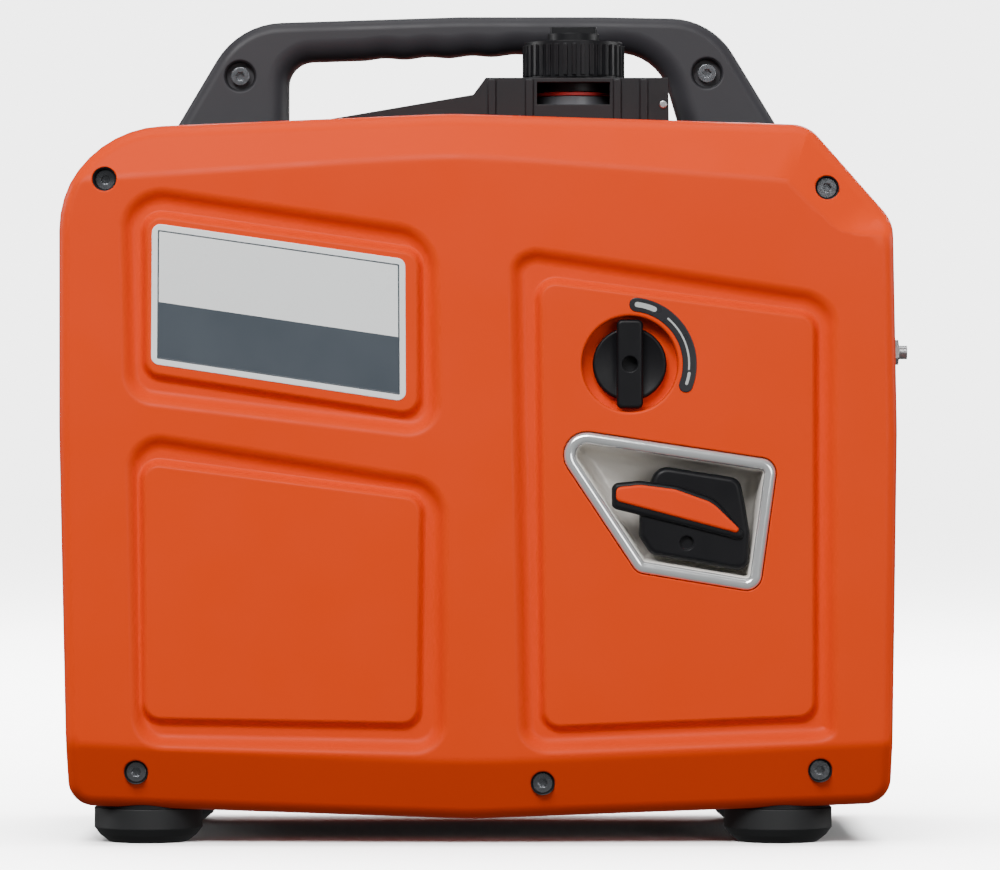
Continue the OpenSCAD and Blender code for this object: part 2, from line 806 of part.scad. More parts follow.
module vent_lever() {
  color(black) {
    bar_z(cap_at, 3, 441, 448);
    bar_z(cap_at, 14.5, 447.3, 452);
    translate([cap_at.x, cap_at.y, 451]) linear_extrude(5)
      polygon(rounded([[-13, -3], [13, -3], [13, 3], [-13, 3]], [2, 2, 2, 2]));
  }
}

// ---- exhaust -------------------------------------------------------------------------------------

module muffler() {
  color(steel) difference() {
    union() {
      bar_y(muffler_at, muffler_r, -50, 70);
      translate([muffler_at.x, bore_y, muffler_at.y]) rotate([0, -20.7, 0]) bar_x([0, 0], 10, 40, 103);
      bar_x(exhaust_at, 13, -222, muffler_at.x - 30);
    }
    bar_y(muffler_at, muffler_r - 1.5, -48, 68);
    translate([muffler_at.x, bore_y, muffler_at.y]) rotate([0, -20.7, 0]) bar_x([0, 0], 8, 30, 110);
    bar_x(exhaust_at, 11, -223, muffler_at.x - 20);
  }
}

module exhaust_outlet() {
  color(steel) difference() {
    union() {
      bar_x(exhaust_at, 17, x_left + 0.5, -222.5);
      bar_x(exhaust_at, 19, -225, -222.5);
    }
    bar_x(exhaust_at, 14, x_left, -225);
    bar_x(exhaust_at, 11, -230, -220);
    for (a = [0:45:315]) translate([0, exhaust_at.x, exhaust_at.y]) rotate([a, 0, 0])
      box([-232, -20, -2], [-227, 0, 2]);
  }
}

// ---- engine --------------------------------------------------------------------------------------

module engine_mounts() {
  color(black) for (x = [-20, 80], y = [10, 60]) bar_z([x, y], 12, tray_z + 0.1, 45);
}

module crankcase() {
  color(cast) difference() {
    union() {
      bar_y(crank_at, 58, 0, 70);
      along_bore() translate([0, 0, 30]) cylinder(h = 25, r = 34);
      box([-35, 0, 45.1], [95, 70, 53]);
      box([-10, 0, 50], [70, 70, 110]);
      for (a = housing_lugs) translate([crank_at.x, 0, crank_at.y]) rotate([0, -a, 0])
        box([50, 0, -6], [78, 8, 6]);
      bar_y([62, 112], 11, 60, 78);
    }
    bar_y(crank_at, 48, 10, 60);
    bar_y(crank_at, shaft_r + 1, -1, 71);
    bar_y(crank_at, 16.1, -1, 9);
    bar_y(crank_at, 16.1, 61, 71);
    along_bore() translate([0, 0, 20]) cylinder(h = 50, r = 28.3);
    along_bore() translate([0, 0, 55]) cylinder(h = 40, r = 45);
    bar_y([62, 112], 8.2, 30, 80);
  }
}

module engine_cylinder() {
  color(cast) along_bore() difference() {
    union() {
      translate([0, 0, 47]) cylinder(h = 9, r = 28);
      translate([0, 0, 55.2]) cylinder(h = 41.7, r = 31);
      for (i = [0:fins - 1]) translate([0, 0, 57.5 + 7 * i]) cylinder(h = 2, r = 42);
    }
    translate([0, 0, 40]) cylinder(h = 60, r = bore_r + run);
    translate([-50, -50, 50]) cube([100, 12, 50]);
  }
}

module cylinder_head() {
  color(cast) difference() {
    along_bore() {
      translate([0, 0, 97]) cylinder(h = 25, r = 31);
      for (i = [0:3]) translate([0, 0, 98 + 6.5 * i]) cylinder(h = 2, r = 40);
      translate([0, 0, 110]) rotate([0, 90, 0]) cylinder(h = 42, r = 13);
      translate([-26, -31, 121]) cube([52, 62, 19]);
    }
    along_bore() {
      translate([0, 0, 96]) cylinder(h = 5, r = bore_r);
      translate([14, 0, 110]) rotate([0, 90, 0]) cylinder(h = 30, r = 9);
      translate([-14, 0, 110]) rotate([0, -90, 0]) cylinder(h = 30, r = 9);
      translate([0, 13, 110]) rotate([-90, 0, 0]) cylinder(h = 40, r = 5.1);
      translate([0, 30.5, 110]) rotate([-90, 0, 0]) cylinder(h = 20, r = 9.5);
    }
  }
}

module crankshaft() {
  color(steel) {
    bar_y(crank_at, shaft_r, -60, 22);
    bar_y(crank_at, shaft_r, 47.9, 72);
    difference() {
      union() {
        bar_y(crank_at, 27, 22, 30);
        bar_y(crank_at, 27, 40, 48);
      }
      for (s = [-1, 1]) along_bore() translate([s * 24, 0, 22]) rotate([90, 0, 0])
        cylinder(h = 60, r = 16, center = true);
    }
    along_bore() translate([0, -5.2, crank_r]) rotate([-90, 0, 0]) cylinder(h = 10.4, r = 8.5);
  }
}

module connecting_rod() {
  color(cast) along_bore() difference() {
    union() {
      translate([0, -4.5, crank_r]) rotate([-90, 0, 0]) cylinder(h = 9, r = 13);
      translate([0, -4.5, piston_pin]) rotate([-90, 0, 0]) cylinder(h = 9, r = 9);
      translate([-5, -3, crank_r + 8]) cube([10, 6, rod_l - 14]);
    }
    translate([0, -6, crank_r]) rotate([-90, 0, 0]) cylinder(h = 12, r = 8.5 + run);
    translate([0, -6, piston_pin]) rotate([-90, 0, 0]) cylinder(h = 12, r = 6 + run);
  }
}

module piston() {
  color(cast) along_bore() {
    difference() {
      translate([0, 0, piston_pin - 13]) cylinder(h = 28, r = bore_r);
      translate([0, 0, piston_pin - 14]) cylinder(h = 25, r = bore_r - 4);
      for (z = [3, 7, 11]) translate([0, 0, piston_pin + z]) tube(bore_r + 1, bore_r - 1.5, 0, 1.4);
    }
    translate([0, 2 - bore_r, piston_pin]) rotate([-90, 0, 0]) cylinder(h = 2 * bore_r - 4, r = 6);
  }
}

module crank_bearings() {
  color(steel) for (y = [0.5, 61.5]) difference() {
    bar_y(crank_at, 16, y, y + 8);
    bar_y(crank_at, shaft_r + run, y - 1, y + 9);
    difference() {
      bar_y(crank_at, 14, y + 6.5, y + 9);
      bar_y(crank_at, 10.5, y, y + 9);
    }
  }
}

module stator() {
  color([0.45, 0.22, 0.1]) difference() {
    union() {
      bar_y(crank_at, 24, -26, -0.1);
      for (a = [0:30:330]) translate([crank_at.x, 0, crank_at.y]) rotate([0, a, 0]) {
        box([20, -20, -3], [42, -8, 3]);
        box([25, -22, -5], [39, -6, 5]);
        box([41, -22, -8], [44, -6, 8]);
      }
    }
    bar_y(crank_at, 12, -30, 1);
  }
}

module flywheel_rotor() {
  color(steel) difference() {
    union() {
      bar_y(crank_at, 60, -34, -5);
      bar_y(crank_at, 66, -34, -28);
    }
    bar_y(crank_at, 48, -29, -4);
    bar_y(crank_at, shaft_r + run, -40, -20);
    for (a = [0:60:300]) translate([crank_at.x, 0, crank_at.y]) rotate([0, a, 0])
      bar_y([30, 0], 6, -40, -20);
  }
}

module cooling_fan() {
  color(black) difference() {
    union() {
      bar_y(crank_at, 62, -37.5, -34.1);
      bar_y(crank_at, 20, -52, -34.1);
      for (i = [0:fan_blades - 1]) translate([crank_at.x, 0, crank_at.y])
        rotate([0, 360 * i / fan_blades, 0]) translate([40, 0, 0]) rotate([0, 25, 0])
          box([0, -54, -1.2], [22, -36, 1.2]);
    }
    bar_y(crank_at, shaft_r + run, -60, -30);
  }
}

module air_cleaner_case() {
  color(black) difference() {
    box([70, 30, 225], [142, 112, 288]);
    box([72.5, 32.5, 227.5], [139.5, 109.5, 285.5]);
    bar_x([bore_y, 258], 9, 60, 80);
    bar_z([125, 90], 8, 220, 230);
    box([80, 100, 240], [130, 113, 275]);
  }
}

module air_filter() {
  color([0.75, 0.65, 0.4]) box([73, 60, 228], [139, 85, 285]);
}

module carburettor() {
  color(cast) difference() {
    union() {
      bar_x([bore_y, 258], 13, 33, 69.8);
      box([40, 20, 240], [62, 50, 276]);
      bar_z([51, bore_y], 14, 226, 241);
    }
    bar_x([bore_y, 258], 9, 30, 70);
    along_bore() translate([0, 0, 110]) rotate([0, 90, 0]) cylinder(h = 44, r = 14);
    along_bore() cylinder(h = 150, r = 41);
  }
}

module spark_plug() {
  color(steel) along_bore() translate([0, 0, 110]) rotate([-90, 0, 0]) {
    translate([0, 0, 14]) cylinder(h = 18, r = 5);
    translate([0, 0, 31.2]) cylinder(h = 8, r = 8, $fn = 6);
    translate([0, 0, 39]) cylinder(h = 18, r = 4.5);
  }
}

module plug_lead() {
  color(black) along_bore() translate([0, 0, 110]) {
    difference() {
      rotate([-90, 0, 0]) translate([0, 0, 45]) cylinder(h = 20, r = 8);
      rotate([-90, 0, 0]) translate([0, 0, 44]) cylinder(h = 13.2, r = 4.6);
    }
    translate([0, 60, -40]) cylinder(h = 36, r = 3.5);
  }
}

module inverter_module() {
  color(cast) {
    difference() {
      box([128, -62, 60], [186, 62, 212]);
      for (i = [0:10]) box([127, -56 + 10.5 * i, 66], [146, -49 + 10.5 * i, 213]);
    }
    for (s = [-1, 1]) box([150, s * 50 - 8, tray_z + 0.1], [180, s * 50 + 8, 61]);
  }
}

module oil_dipstick() {
  color(black) {
    bar_y([62, 112], 8, 66, 79);
    bar_y([62, 112], 3, 42, 67);
    bar_y([62, 112], 14, 78.2, 88);
    box([51, 87, 110], [73, 94, 114]);
  }
}

starter_side_cover();
service_side_cover();
service_door();
door_latch();
cover_screws();
base_tray();
rubber_feet();
top_cover();
control_end_frame();
exhaust_end_panel();
handle_front_half();
handle_rear_half();
handle_screws();
name_plate();
dial_scale();
starter_bezel();
starter_pan();
rope_guide();
engine_dial();
control_panel();
ac_outlets();
left_outlet_lid();
right_outlet_lid();
dc_outlet();
usb_ports();
breaker_button();
eco_rocker();
indicator_lenses();
parallel_sockets();
earth_terminal();
fuel_tank();
fuel_cap();
cap_gasket();
vent_lever();
exhaust_outlet();
muffler();
engine_mounts();
crankcase();
engine_cylinder();
cylinder_head();
crankshaft();
connecting_rod();
piston();
crank_bearings();
stator();
flywheel_rotor();
cooling_fan();
starter_housing();
starter_reel();
recoil_spring();
starter_rope();
starter_grip();
grip_insert();
air_cleaner_case();
air_filter();
carburettor();
spark_plug();
plug_lead();
inverter_module();
oil_dipstick();
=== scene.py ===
"""Looks of a suitcase-style inverter generator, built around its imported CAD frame."""
import json
import math
from collections import namedtuple
import bpy
import numpy as np
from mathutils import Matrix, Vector
from mathutils.geometry import delaunay_2d_cdt


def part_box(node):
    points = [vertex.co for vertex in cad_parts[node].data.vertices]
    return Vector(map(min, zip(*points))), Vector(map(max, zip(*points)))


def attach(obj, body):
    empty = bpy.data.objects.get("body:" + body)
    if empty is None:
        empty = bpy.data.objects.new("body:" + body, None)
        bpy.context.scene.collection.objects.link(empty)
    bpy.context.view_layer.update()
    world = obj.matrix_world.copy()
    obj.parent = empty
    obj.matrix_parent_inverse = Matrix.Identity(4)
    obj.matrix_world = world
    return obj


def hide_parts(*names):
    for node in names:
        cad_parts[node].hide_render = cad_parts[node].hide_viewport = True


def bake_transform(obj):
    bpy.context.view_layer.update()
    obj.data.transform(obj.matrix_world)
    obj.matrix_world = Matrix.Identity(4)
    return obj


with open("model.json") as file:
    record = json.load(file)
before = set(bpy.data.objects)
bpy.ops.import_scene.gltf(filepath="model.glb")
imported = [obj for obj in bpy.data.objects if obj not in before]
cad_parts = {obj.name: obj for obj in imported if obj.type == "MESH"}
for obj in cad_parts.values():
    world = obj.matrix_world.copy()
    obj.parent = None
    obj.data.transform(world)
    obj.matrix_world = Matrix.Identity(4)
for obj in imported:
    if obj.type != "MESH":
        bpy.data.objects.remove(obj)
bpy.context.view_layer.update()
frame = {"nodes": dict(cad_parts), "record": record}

MM = 0.001
FACE_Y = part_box("starter_side_cover")[0][1] / MM      # plane of the starter side's face
SEAM_Y = -73.0                                        # where a cover meets the centre frame
LEFT_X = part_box("starter_side_cover")[0][0] / MM
RIGHT_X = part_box("starter_side_cover")[1][0] / MM

# ---- outlines in millimetres, as corner points (x, z) seen from the starter side ----------------

BODY = [(LEFT_X + 4.3, 21.4), (-9, 13.8), (RIGHT_X - 2.8, 22.5), (RIGHT_X, 228),
        (RIGHT_X - 2.2, 344.5), (RIGHT_X - 48.2, 397), (-20, 402.8), (LEFT_X, 393.8), (LEFT_X, 228)]
BODY_R = [14, 200, 14, 300, 20, 20, 300, 58, 300]
UPPER_RECESS = [(-198.4, 244.9), (-25.9, 224.1), (-27.5, 323.7), (-39, 339.1), (-184.7, 361),
                (-200.5, 347.8)]
UPPER_PAD = [(-187.4, 259.1), (-37.4, 236.1), (-37.4, 325.5), (-187.6, 347.2)]
LOWER_RECESS = [(-193.4, 54.7), (-22.6, 51.4), (-22.6, 188.5), (-32.4, 201.6), (-184.7, 225.7),
                (-196.7, 214.7)]
LOWER_PAD = [(-188, 69.6), (-37.9, 66.9), (-36.3, 191.3), (-189, 211.1)]
RIGHT_RECESS = [(18, 59.8), (28.4, 52), (183.3, 58.1), (191, 61.4), (191, 293.1), (180.6, 303.5),
                (23.4, 327.6), (13, 320.4)]
RIGHT_PAD = [(31, 65), (179.5, 70.9), (179.5, 290.7), (28.5, 310.6)]
DOOR = [(33.1, 66), (179.5, 70.9), (179.5, 290.7), (33.1, 310)]
DOOR_R = [4] * 4
DOOR_OPENING = [(31.4, 66), (179.5, 70.9), (179.5, 290.7), (31.4, 310)]
DOOR_PIN = (35.3, FACE_Y + 1)
PLATE = [(-184.5, 264.5), (-44.2, 243.5), (-44.6, 322.3), (-184, 342.3)]
BEZEL = [(81.8, 150), (149.6, 138.8), (159.8, 212.1), (27.6, 231.9)]
BEZEL_R = [8, 9, 9, 13]
SCREWS = [(-209.8, 366), (186.6, 361.5), (-192.9, 40.5), (30.5, 34.5), (182.8, 41.5)]
DIAL = (78.2, 264.6)
SCREW_FLOOR = -119.5
DIAL_FLOOR = -122.0
GROOVE_DEPTH = 5.8
SLOPE_W = 10.5               # width of a recess's sloping wall
WALL_REACH = 2.5             # how far the wall's soft top starts outside the recess
PAD_DROP = 0.6               # how far a pad lies behind the face
PAD_W = 5.8                  # width of the step up to a pad
PAD_REACH = 3.6              # how far that step starts outside the pad


# ---- two-dimensional helpers ---------------------------------------------------------------------

SHARPEST_R = 0.4             # no inset corner gets sharper than this
GENTLE_R = 30                # bends this wide keep their radius when they are inset
CHUNK = 4000                 # points that distance handles at once


def corner_arc(a, b, c, r, n):
    """The corner at b as an arc of radius r in n steps."""
    a, b, c = np.array(a, float), np.array(b, float), np.array(c, float)
    u = (a - b) / np.linalg.norm(a - b)
    v = (c - b) / np.linalg.norm(c - b)
    half = math.acos(max(-1, min(1, float(u @ v)))) / 2
    mid = (u + v) / np.linalg.norm(u + v)
    centre = b + mid * r / math.sin(half)
    start = b + u * r / math.tan(half) - centre
    end = b + v * r / math.tan(half) - centre
    a0 = math.atan2(start[1], start[0])
    sweep = (math.atan2(end[1], end[0]) - a0 + math.pi) % (2 * math.pi) - math.pi
    return [centre + r * np.array((math.cos(a0 + sweep * i / n), math.sin(a0 + sweep * i / n)))
            for i in range(n + 1)]


def rounded(points, radii, n=8):
    """An outline's points with each corner turned into an arc of n steps."""
    count = len(points)
    out = []
    for i in range(count):
        out += corner_arc(points[i - 1], points[i], points[(i + 1) % count], radii[i], n)
    return np.array(out)


def inset(points, d):
    """A convex counter-clockwise outline moved inwards by d."""
    p = np.array(points, float)
    before = p - np.roll(p, 1, 0)
    after = np.roll(p, -1, 0) - p
    before /= np.linalg.norm(before, axis=1)[:, None]
    after /= np.linalg.norm(after, axis=1)[:, None]
    na = np.stack((-before[:, 1], before[:, 0]), 1)
    nb = np.stack((-after[:, 1], after[:, 0]), 1)
    return p + (na + nb) * d / (1 + (na * nb).sum(1))[:, None]


def ring(points, radii, d=0.0, step=9.0, n=8):
    """A convex outline's rounded ring, d inside it, with long edges divided."""
    radii = [max(r - d, SHARPEST_R) if r < GENTLE_R else r for r in radii]
    return densify(rounded(inset(points, d), radii, n), step)


def circle(centre, r, n=48):
    """n points round a circle."""
    a = np.linspace(0, 2 * math.pi, n, endpoint=False)
    return np.stack((centre[0] + r * np.cos(a), centre[1] + r * np.sin(a)), 1)


def densify(loop, step):
    """A closed loop with its long edges divided into pieces of about step."""
    out = []
    for a, b in zip(loop, np.roll(loop, -1, 0)):
        pieces = max(1, int(np.linalg.norm(b - a) // step))
        out += [a + (b - a) * i / pieces for i in range(pieces)]
    return np.array(out)


def offset(loop, d):
    """A dense closed ring moved to its left by d, point by point."""
    edge = np.roll(loop, -1, 0) - loop
    edge /= np.maximum(np.linalg.norm(edge, axis=1), 1e-9)[:, None]
    n = np.stack((-edge[:, 1], edge[:, 0]), 1)
    mid = n + np.roll(n, 1, 0)
    mid /= np.maximum(np.linalg.norm(mid, axis=1), 1e-9)[:, None]
    stretch = np.maximum((mid * n).sum(1), 0.5)
    return loop + mid * (d / stretch)[:, None]


def inside(p, loop):
    """Which of the points p lie inside a closed loop."""
    a, b = loop, np.roll(loop, -1, 0)
    x, y = p[:, 0][:, None], p[:, 1][:, None]
    cross = (a[:, 1] > y) != (b[:, 1] > y)
    slope = (b[:, 0] - a[:, 0]) / np.where(b[:, 1] == a[:, 1], 1e-9, b[:, 1] - a[:, 1])
    return (cross & (x < a[:, 0] + slope * (y - a[:, 1]))).sum(1) % 2 == 1


def distance(p, loop):
    """Signed distance to a closed loop, positive inside, and its gradient."""
    a = loop
    ab = np.roll(loop, -1, 0) - a
    best = np.full(len(p), 1e9)
    grad = np.zeros((len(p), 2))
    for start in range(0, len(p), CHUNK):
        q = p[start:start + CHUNK]
        rel = q[:, None, :] - a[None]
        t = np.clip((rel * ab).sum(2) / np.maximum((ab * ab).sum(1), 1e-12), 0, 1)
        away = rel - t[..., None] * ab
        dist = np.linalg.norm(away, axis=2)
        k = dist.argmin(1)
        rows = np.arange(len(q))
        d = dist[rows, k]
        edge_n = np.stack((-ab[k, 1], ab[k, 0]), 1)
        edge_n /= np.maximum(np.linalg.norm(edge_n, axis=1), 1e-9)[:, None]
        sign = np.where(inside(q, loop), 1.0, -1.0)
        toward = away[rows, k] / np.maximum(d, 1e-9)[:, None] * sign[:, None]
        close = d < 1e-3
        toward[close] = edge_n[close]
        best[start:start + CHUNK] = d * sign
        grad[start:start + CHUNK] = toward
    return best, grad


def soft_step(t, e=0.22):
    """0 to 1, straight in the middle and rounded over e at both ends."""
    t = np.clip(t, 0, 1)
    low = t * t / (2 * e)
    mid = t - e / 2
    high = 1 - e - (1 - t) ** 2 / (2 * e)
    return np.where(t < e, low, np.where(t > 1 - e, high, mid)) / (1 - e)


def ramp(n, w):
    """max(n, 0) with its corner rounded over w on both sides."""
    return np.where(n < -w, 0, np.where(n > w, n, (n + w) ** 2 / (4 * w)))


def soft_max(a, b, k):
    """The larger of a and b, with the corner between them rounded over about k."""
    return 0.5 * (a + b + np.sqrt((a - b) ** 2 + k * k))


# ---- skins: relief surfaces with rounded rims ----------------------------------------------------

FILLET_STEPS = 6
OUTER_RIM, NO_RIM = -1, -2       # what skin_surface calls the outline's rim, and points on no rim
# A hole's loop, the radius of its rim, the y its wall runs back to, and whether a floor closes it.
Hole = namedtuple("Hole", "loop rim_r floor_y filled")


def fillet_offsets(r):
    """How far inside an edge the rings of its rounding of radius r lie."""
    return [r * (1 - math.cos(math.pi / 2 * i / FILLET_STEPS)) for i in range(FILLET_STEPS + 1)]


def triangulate(loops, outline_ring, left_out):
    """Points and triangles between the loops, inside the outline and outside the loops left out.

    A loop in a one-piece tuple is an open line.
    """
    points, edges = [], []
    for loop in loops:
        closed = not isinstance(loop, tuple)
        line = loop if closed else loop[0]
        first = len(points)
        points += [tuple(q) for q in line]
        edges += [(i, i + 1) for i in range(first, len(points) - 1)]
        if closed:
            edges.append((len(points) - 1, first))
    verts, _, faces, _, _, _ = delaunay_2d_cdt([Vector(q) for q in points], edges, [], 0, 1e-4)
    xy = np.array([tuple(v) for v in verts])
    tris = np.array([f for f in faces if len(f) == 3])
    middle = xy[tris].mean(1)
    keep = inside(middle, outline_ring)
    for loop in left_out:
        keep &= ~inside(middle, loop)
    tris = tris[keep]
    used = np.unique(tris)
    index = np.full(len(xy), -1)
    index[used] = np.arange(len(used))
    return xy[used], index[tris]


def open_edges(faces):
    """The edges that only one face has, in that face's direction."""
    edges = dict.fromkeys(edge for f in faces for edge in zip(f, f[1:] + f[:1]))
    return [(a, b) for a, b in edges if (b, a) not in edges]


def make_skin(name, outline_ring, edge_r, relief, guides, holes, face_y, back_y, hand=1, lip=2.5,
              mid_y=0.0, cuts=()):
    """A moulded skin seen along +Y, or along -Y if hand is -1. face_y and back_y count from mid_y.

    Guides are closed loops, or open lines in a one-piece tuple. Nothing is made inside the cuts.
    """
    loops = [offset(outline_ring, d) if d else outline_ring for d in fillet_offsets(edge_r)]
    loops.append(offset(outline_ring, edge_r * 1.3))
    for hole in holes:
        loops += [offset(hole.loop, -d) if d else hole.loop for d in fillet_offsets(hole.rim_r)]
    xy, tris = triangulate(loops + guides + list(cuts), outline_ring,
                           [hole.loop for hole in holes] + list(cuts))
    depth, normal, rim_of = skin_surface(xy, outline_ring, edge_r, relief, holes)
    verts = list(np.stack((xy[:, 0], face_y + depth, xy[:, 1]), 1))
    normals = list(normal)
    area = np.cross(xy[tris[:, 1]] - xy[tris[:, 0]], xy[tris[:, 2]] - xy[tris[:, 0]])
    faces = [tuple(t) if s > 0 else tuple(t[::-1]) for t, s in zip(tris, area)]
    border = open_edges(faces)
    walls = [(OUTER_RIM, back_y, lip, False)]
    walls += [(i, hole.floor_y, 0, hole.filled) for i, hole in enumerate(holes)]
    for which, wall_y, wall_lip, filled in walls:
        rim = [(a, b) for a, b in border if rim_of[a] == which and rim_of[b] == which]
        if rim:
            add_wall(verts, normals, faces, rim, wall_y, wall_lip, filled)
    v, n = np.array(verts), np.array(normals)
    if hand < 0:
        v[:, 1] *= -1
        n[:, 1] *= -1
        faces = [f[::-1] for f in faces]
    v[:, 1] += mid_y
    return make_object(name, v * MM, faces, n)


def skin_surface(xy, outline_ring, edge_r, relief, holes):
    """Depth behind the face, unit normal, and which rim each point lies on."""
    h = 0.05
    depth = relief(xy)
    gx = (relief(xy + (h, 0)) - relief(xy - (h, 0))) / (2 * h)
    gz = (relief(xy + (0, h)) - relief(xy - (0, h))) / (2 * h)
    normal = np.stack((gx, -np.ones(len(xy)), gz), 1)
    rim_of = np.full(len(xy), NO_RIM)
    rims = [(OUTER_RIM, edge_r) + distance(xy, outline_ring)]
    for i, hole in enumerate(holes):
        d, g = distance(xy, hole.loop)
        rims.append((i, hole.rim_r, -d, -g))
    for which, r, d, g in rims:
        near = d < r
        up = np.clip(r - d, 0, r)
        depth = depth + np.where(near, r - np.sqrt(np.maximum(r * r - up * up, 0)), 0)
        s = np.sqrt(np.maximum(r * r - up * up, 0)) / r
        blend = normal * s[:, None]
        blend[:, 0] -= up / r * g[:, 0]
        blend[:, 2] -= up / r * g[:, 1]
        normal = np.where(near[:, None], blend, normal)
        rim_of = np.where(np.abs(d) < 2e-3, which, rim_of)
    normal /= np.maximum(np.linalg.norm(normal, axis=1), 1e-9)[:, None]
    return depth, normal, rim_of


def add_wall(verts, normals, faces, rim, target, lip, filled):
    """Runs a border of (a, b) edges back to y = target, then turns a lip or closes a floor."""
    nodes = sorted({i for edge in rim for i in edge})
    far = {}
    for i in nodes:
        far[i] = len(verts)
        verts.append(np.array((verts[i][0], target, verts[i][2])))
        normals.append(normals[i])
    for a, b in rim:
        faces.append((b, a, far[a], far[b]))
    if lip:
        turned = {}
        for i in nodes:
            n = np.array((normals[i][0], 0, normals[i][2]))
            for shift in (0, lip):
                turned[(i, shift)] = len(verts)
                verts.append(verts[far[i]] - n * shift)
                normals.append(np.array((0.0, 1.0, 0.0)))
        for a, b in rim:
            faces.append((turned[(b, 0)], turned[(a, 0)], turned[(a, lip)], turned[(b, lip)]))
    if filled:
        centre = len(verts)
        verts.append(np.mean([verts[far[i]] for i in nodes], 0))
        normals.append(np.array((0.0, -1.0, 0.0)))
        floor = {}
        for i in nodes:
            floor[i] = len(verts)
            verts.append(verts[far[i]].copy())
            normals.append(np.array((0.0, -1.0, 0.0)))
        for a, b in rim:
            faces.append((floor[b], floor[a], centre))


def flat_relief(p):
    """No relief: the whole face lies in its plane."""
    return np.zeros(len(p))


def make_plate(name, outline_ring, edge_r, front_y, back_y, holes=(), relief=flat_relief, hand=1):
    """A plate with rounded front edges."""
    return make_skin(name, outline_ring, edge_r, relief, [], holes, front_y, back_y, hand=hand, lip=0)


def inset_loop(points, radii, n=12):
    """A function that gives the outline d inside, always with the same number of points."""
    return lambda d: rounded(inset(points, d), [max(r - d, 0.6) for r in radii], n)


def round_loop(centre, r, n=40):
    """The same for a circle."""
    return lambda d: circle(centre, r - d, n)


def make_sweep(name, loop_at, profile, cap=False, hand=1):
    """A closed loop carried through (inset, y) steps, closed at the last one if cap is set."""
    rings = [np.stack((q[:, 0], np.full(len(q), y), q[:, 1]), 1)
             for q, y in ((loop_at(d), y) for d, y in profile)]
    verts = np.concatenate(rings)
    count = len(rings[0])
    faces = [(i * count + j, i * count + (j + 1) % count,
              (i + 1) * count + (j + 1) % count, (i + 1) * count + j)
             for i in range(len(profile) - 1) for j in range(count)]
    if cap:
        faces += [(len(verts), (len(profile) - 1) * count + j,
                   (len(profile) - 1) * count + (j + 1) % count) for j in range(count)]
        verts = np.vstack((verts, rings[-1].mean(0)))
    verts[:, 1] *= hand
    if hand < 0:
        faces = [f[::-1] for f in faces]
    return make_object(name, verts * MM, faces)


def make_tube(name, path, r, sides=16):
    """A round tube along (x, z, y) points, closed at both ends."""
    p = np.array([(x, y, z) for x, z, y in path], float)
    way = np.gradient(p, axis=0)
    way /= np.linalg.norm(way, axis=1)[:, None]
    side = np.cross(way, (0.0, 0.3, 0.95))
    side /= np.linalg.norm(side, axis=1)[:, None]
    up = np.cross(side, way)
    a = np.linspace(0, 2 * math.pi, sides, endpoint=False)
    verts = (p[:, None] + r * (np.cos(a)[None, :, None] * side[:, None]
                               + np.sin(a)[None, :, None] * up[:, None])).reshape(-1, 3)
    faces = [(i * sides + j, (i + 1) * sides + j, (i + 1) * sides + (j + 1) % sides,
              i * sides + (j + 1) % sides) for i in range(len(p) - 1) for j in range(sides)]
    faces += [tuple(range(sides)), tuple((len(p) - 1) * sides + j for j in range(sides))[::-1]]
    return make_object(name, verts * MM, faces)


def make_object(name, verts, faces, normals=None):
    """A smooth-shaded object in the scene, with normals of its own if they are given."""
    mesh = bpy.data.meshes.new(name)
    mesh.from_pydata([tuple(v) for v in verts], [], [tuple(int(i) for i in f) for f in faces])
    mesh.update()
    obj = bpy.data.objects.new(name, mesh)
    bpy.context.scene.collection.objects.link(obj)
    mesh.polygons.foreach_set("use_smooth", [True] * len(mesh.polygons))
    if normals is not None:
        mesh.normals_split_custom_set_from_vertices([tuple(n) for n in normals])
    return obj


def finish_piece(obj, material, body="generator", slot=None, *nodes):
    """Gives a piece its material and says what it rides on and stands for."""
    if material.name not in [m.name for m in obj.data.materials if m]:
        obj.data.materials.append(material)
    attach(obj, body)
    if nodes:
        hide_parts(*nodes)
    return obj


# ---- materials -----------------------------------------------------------------------------------

MIX_COLOURS, MIX_RESULT = (6, 7), 2      # a mix node's colour sockets, by place


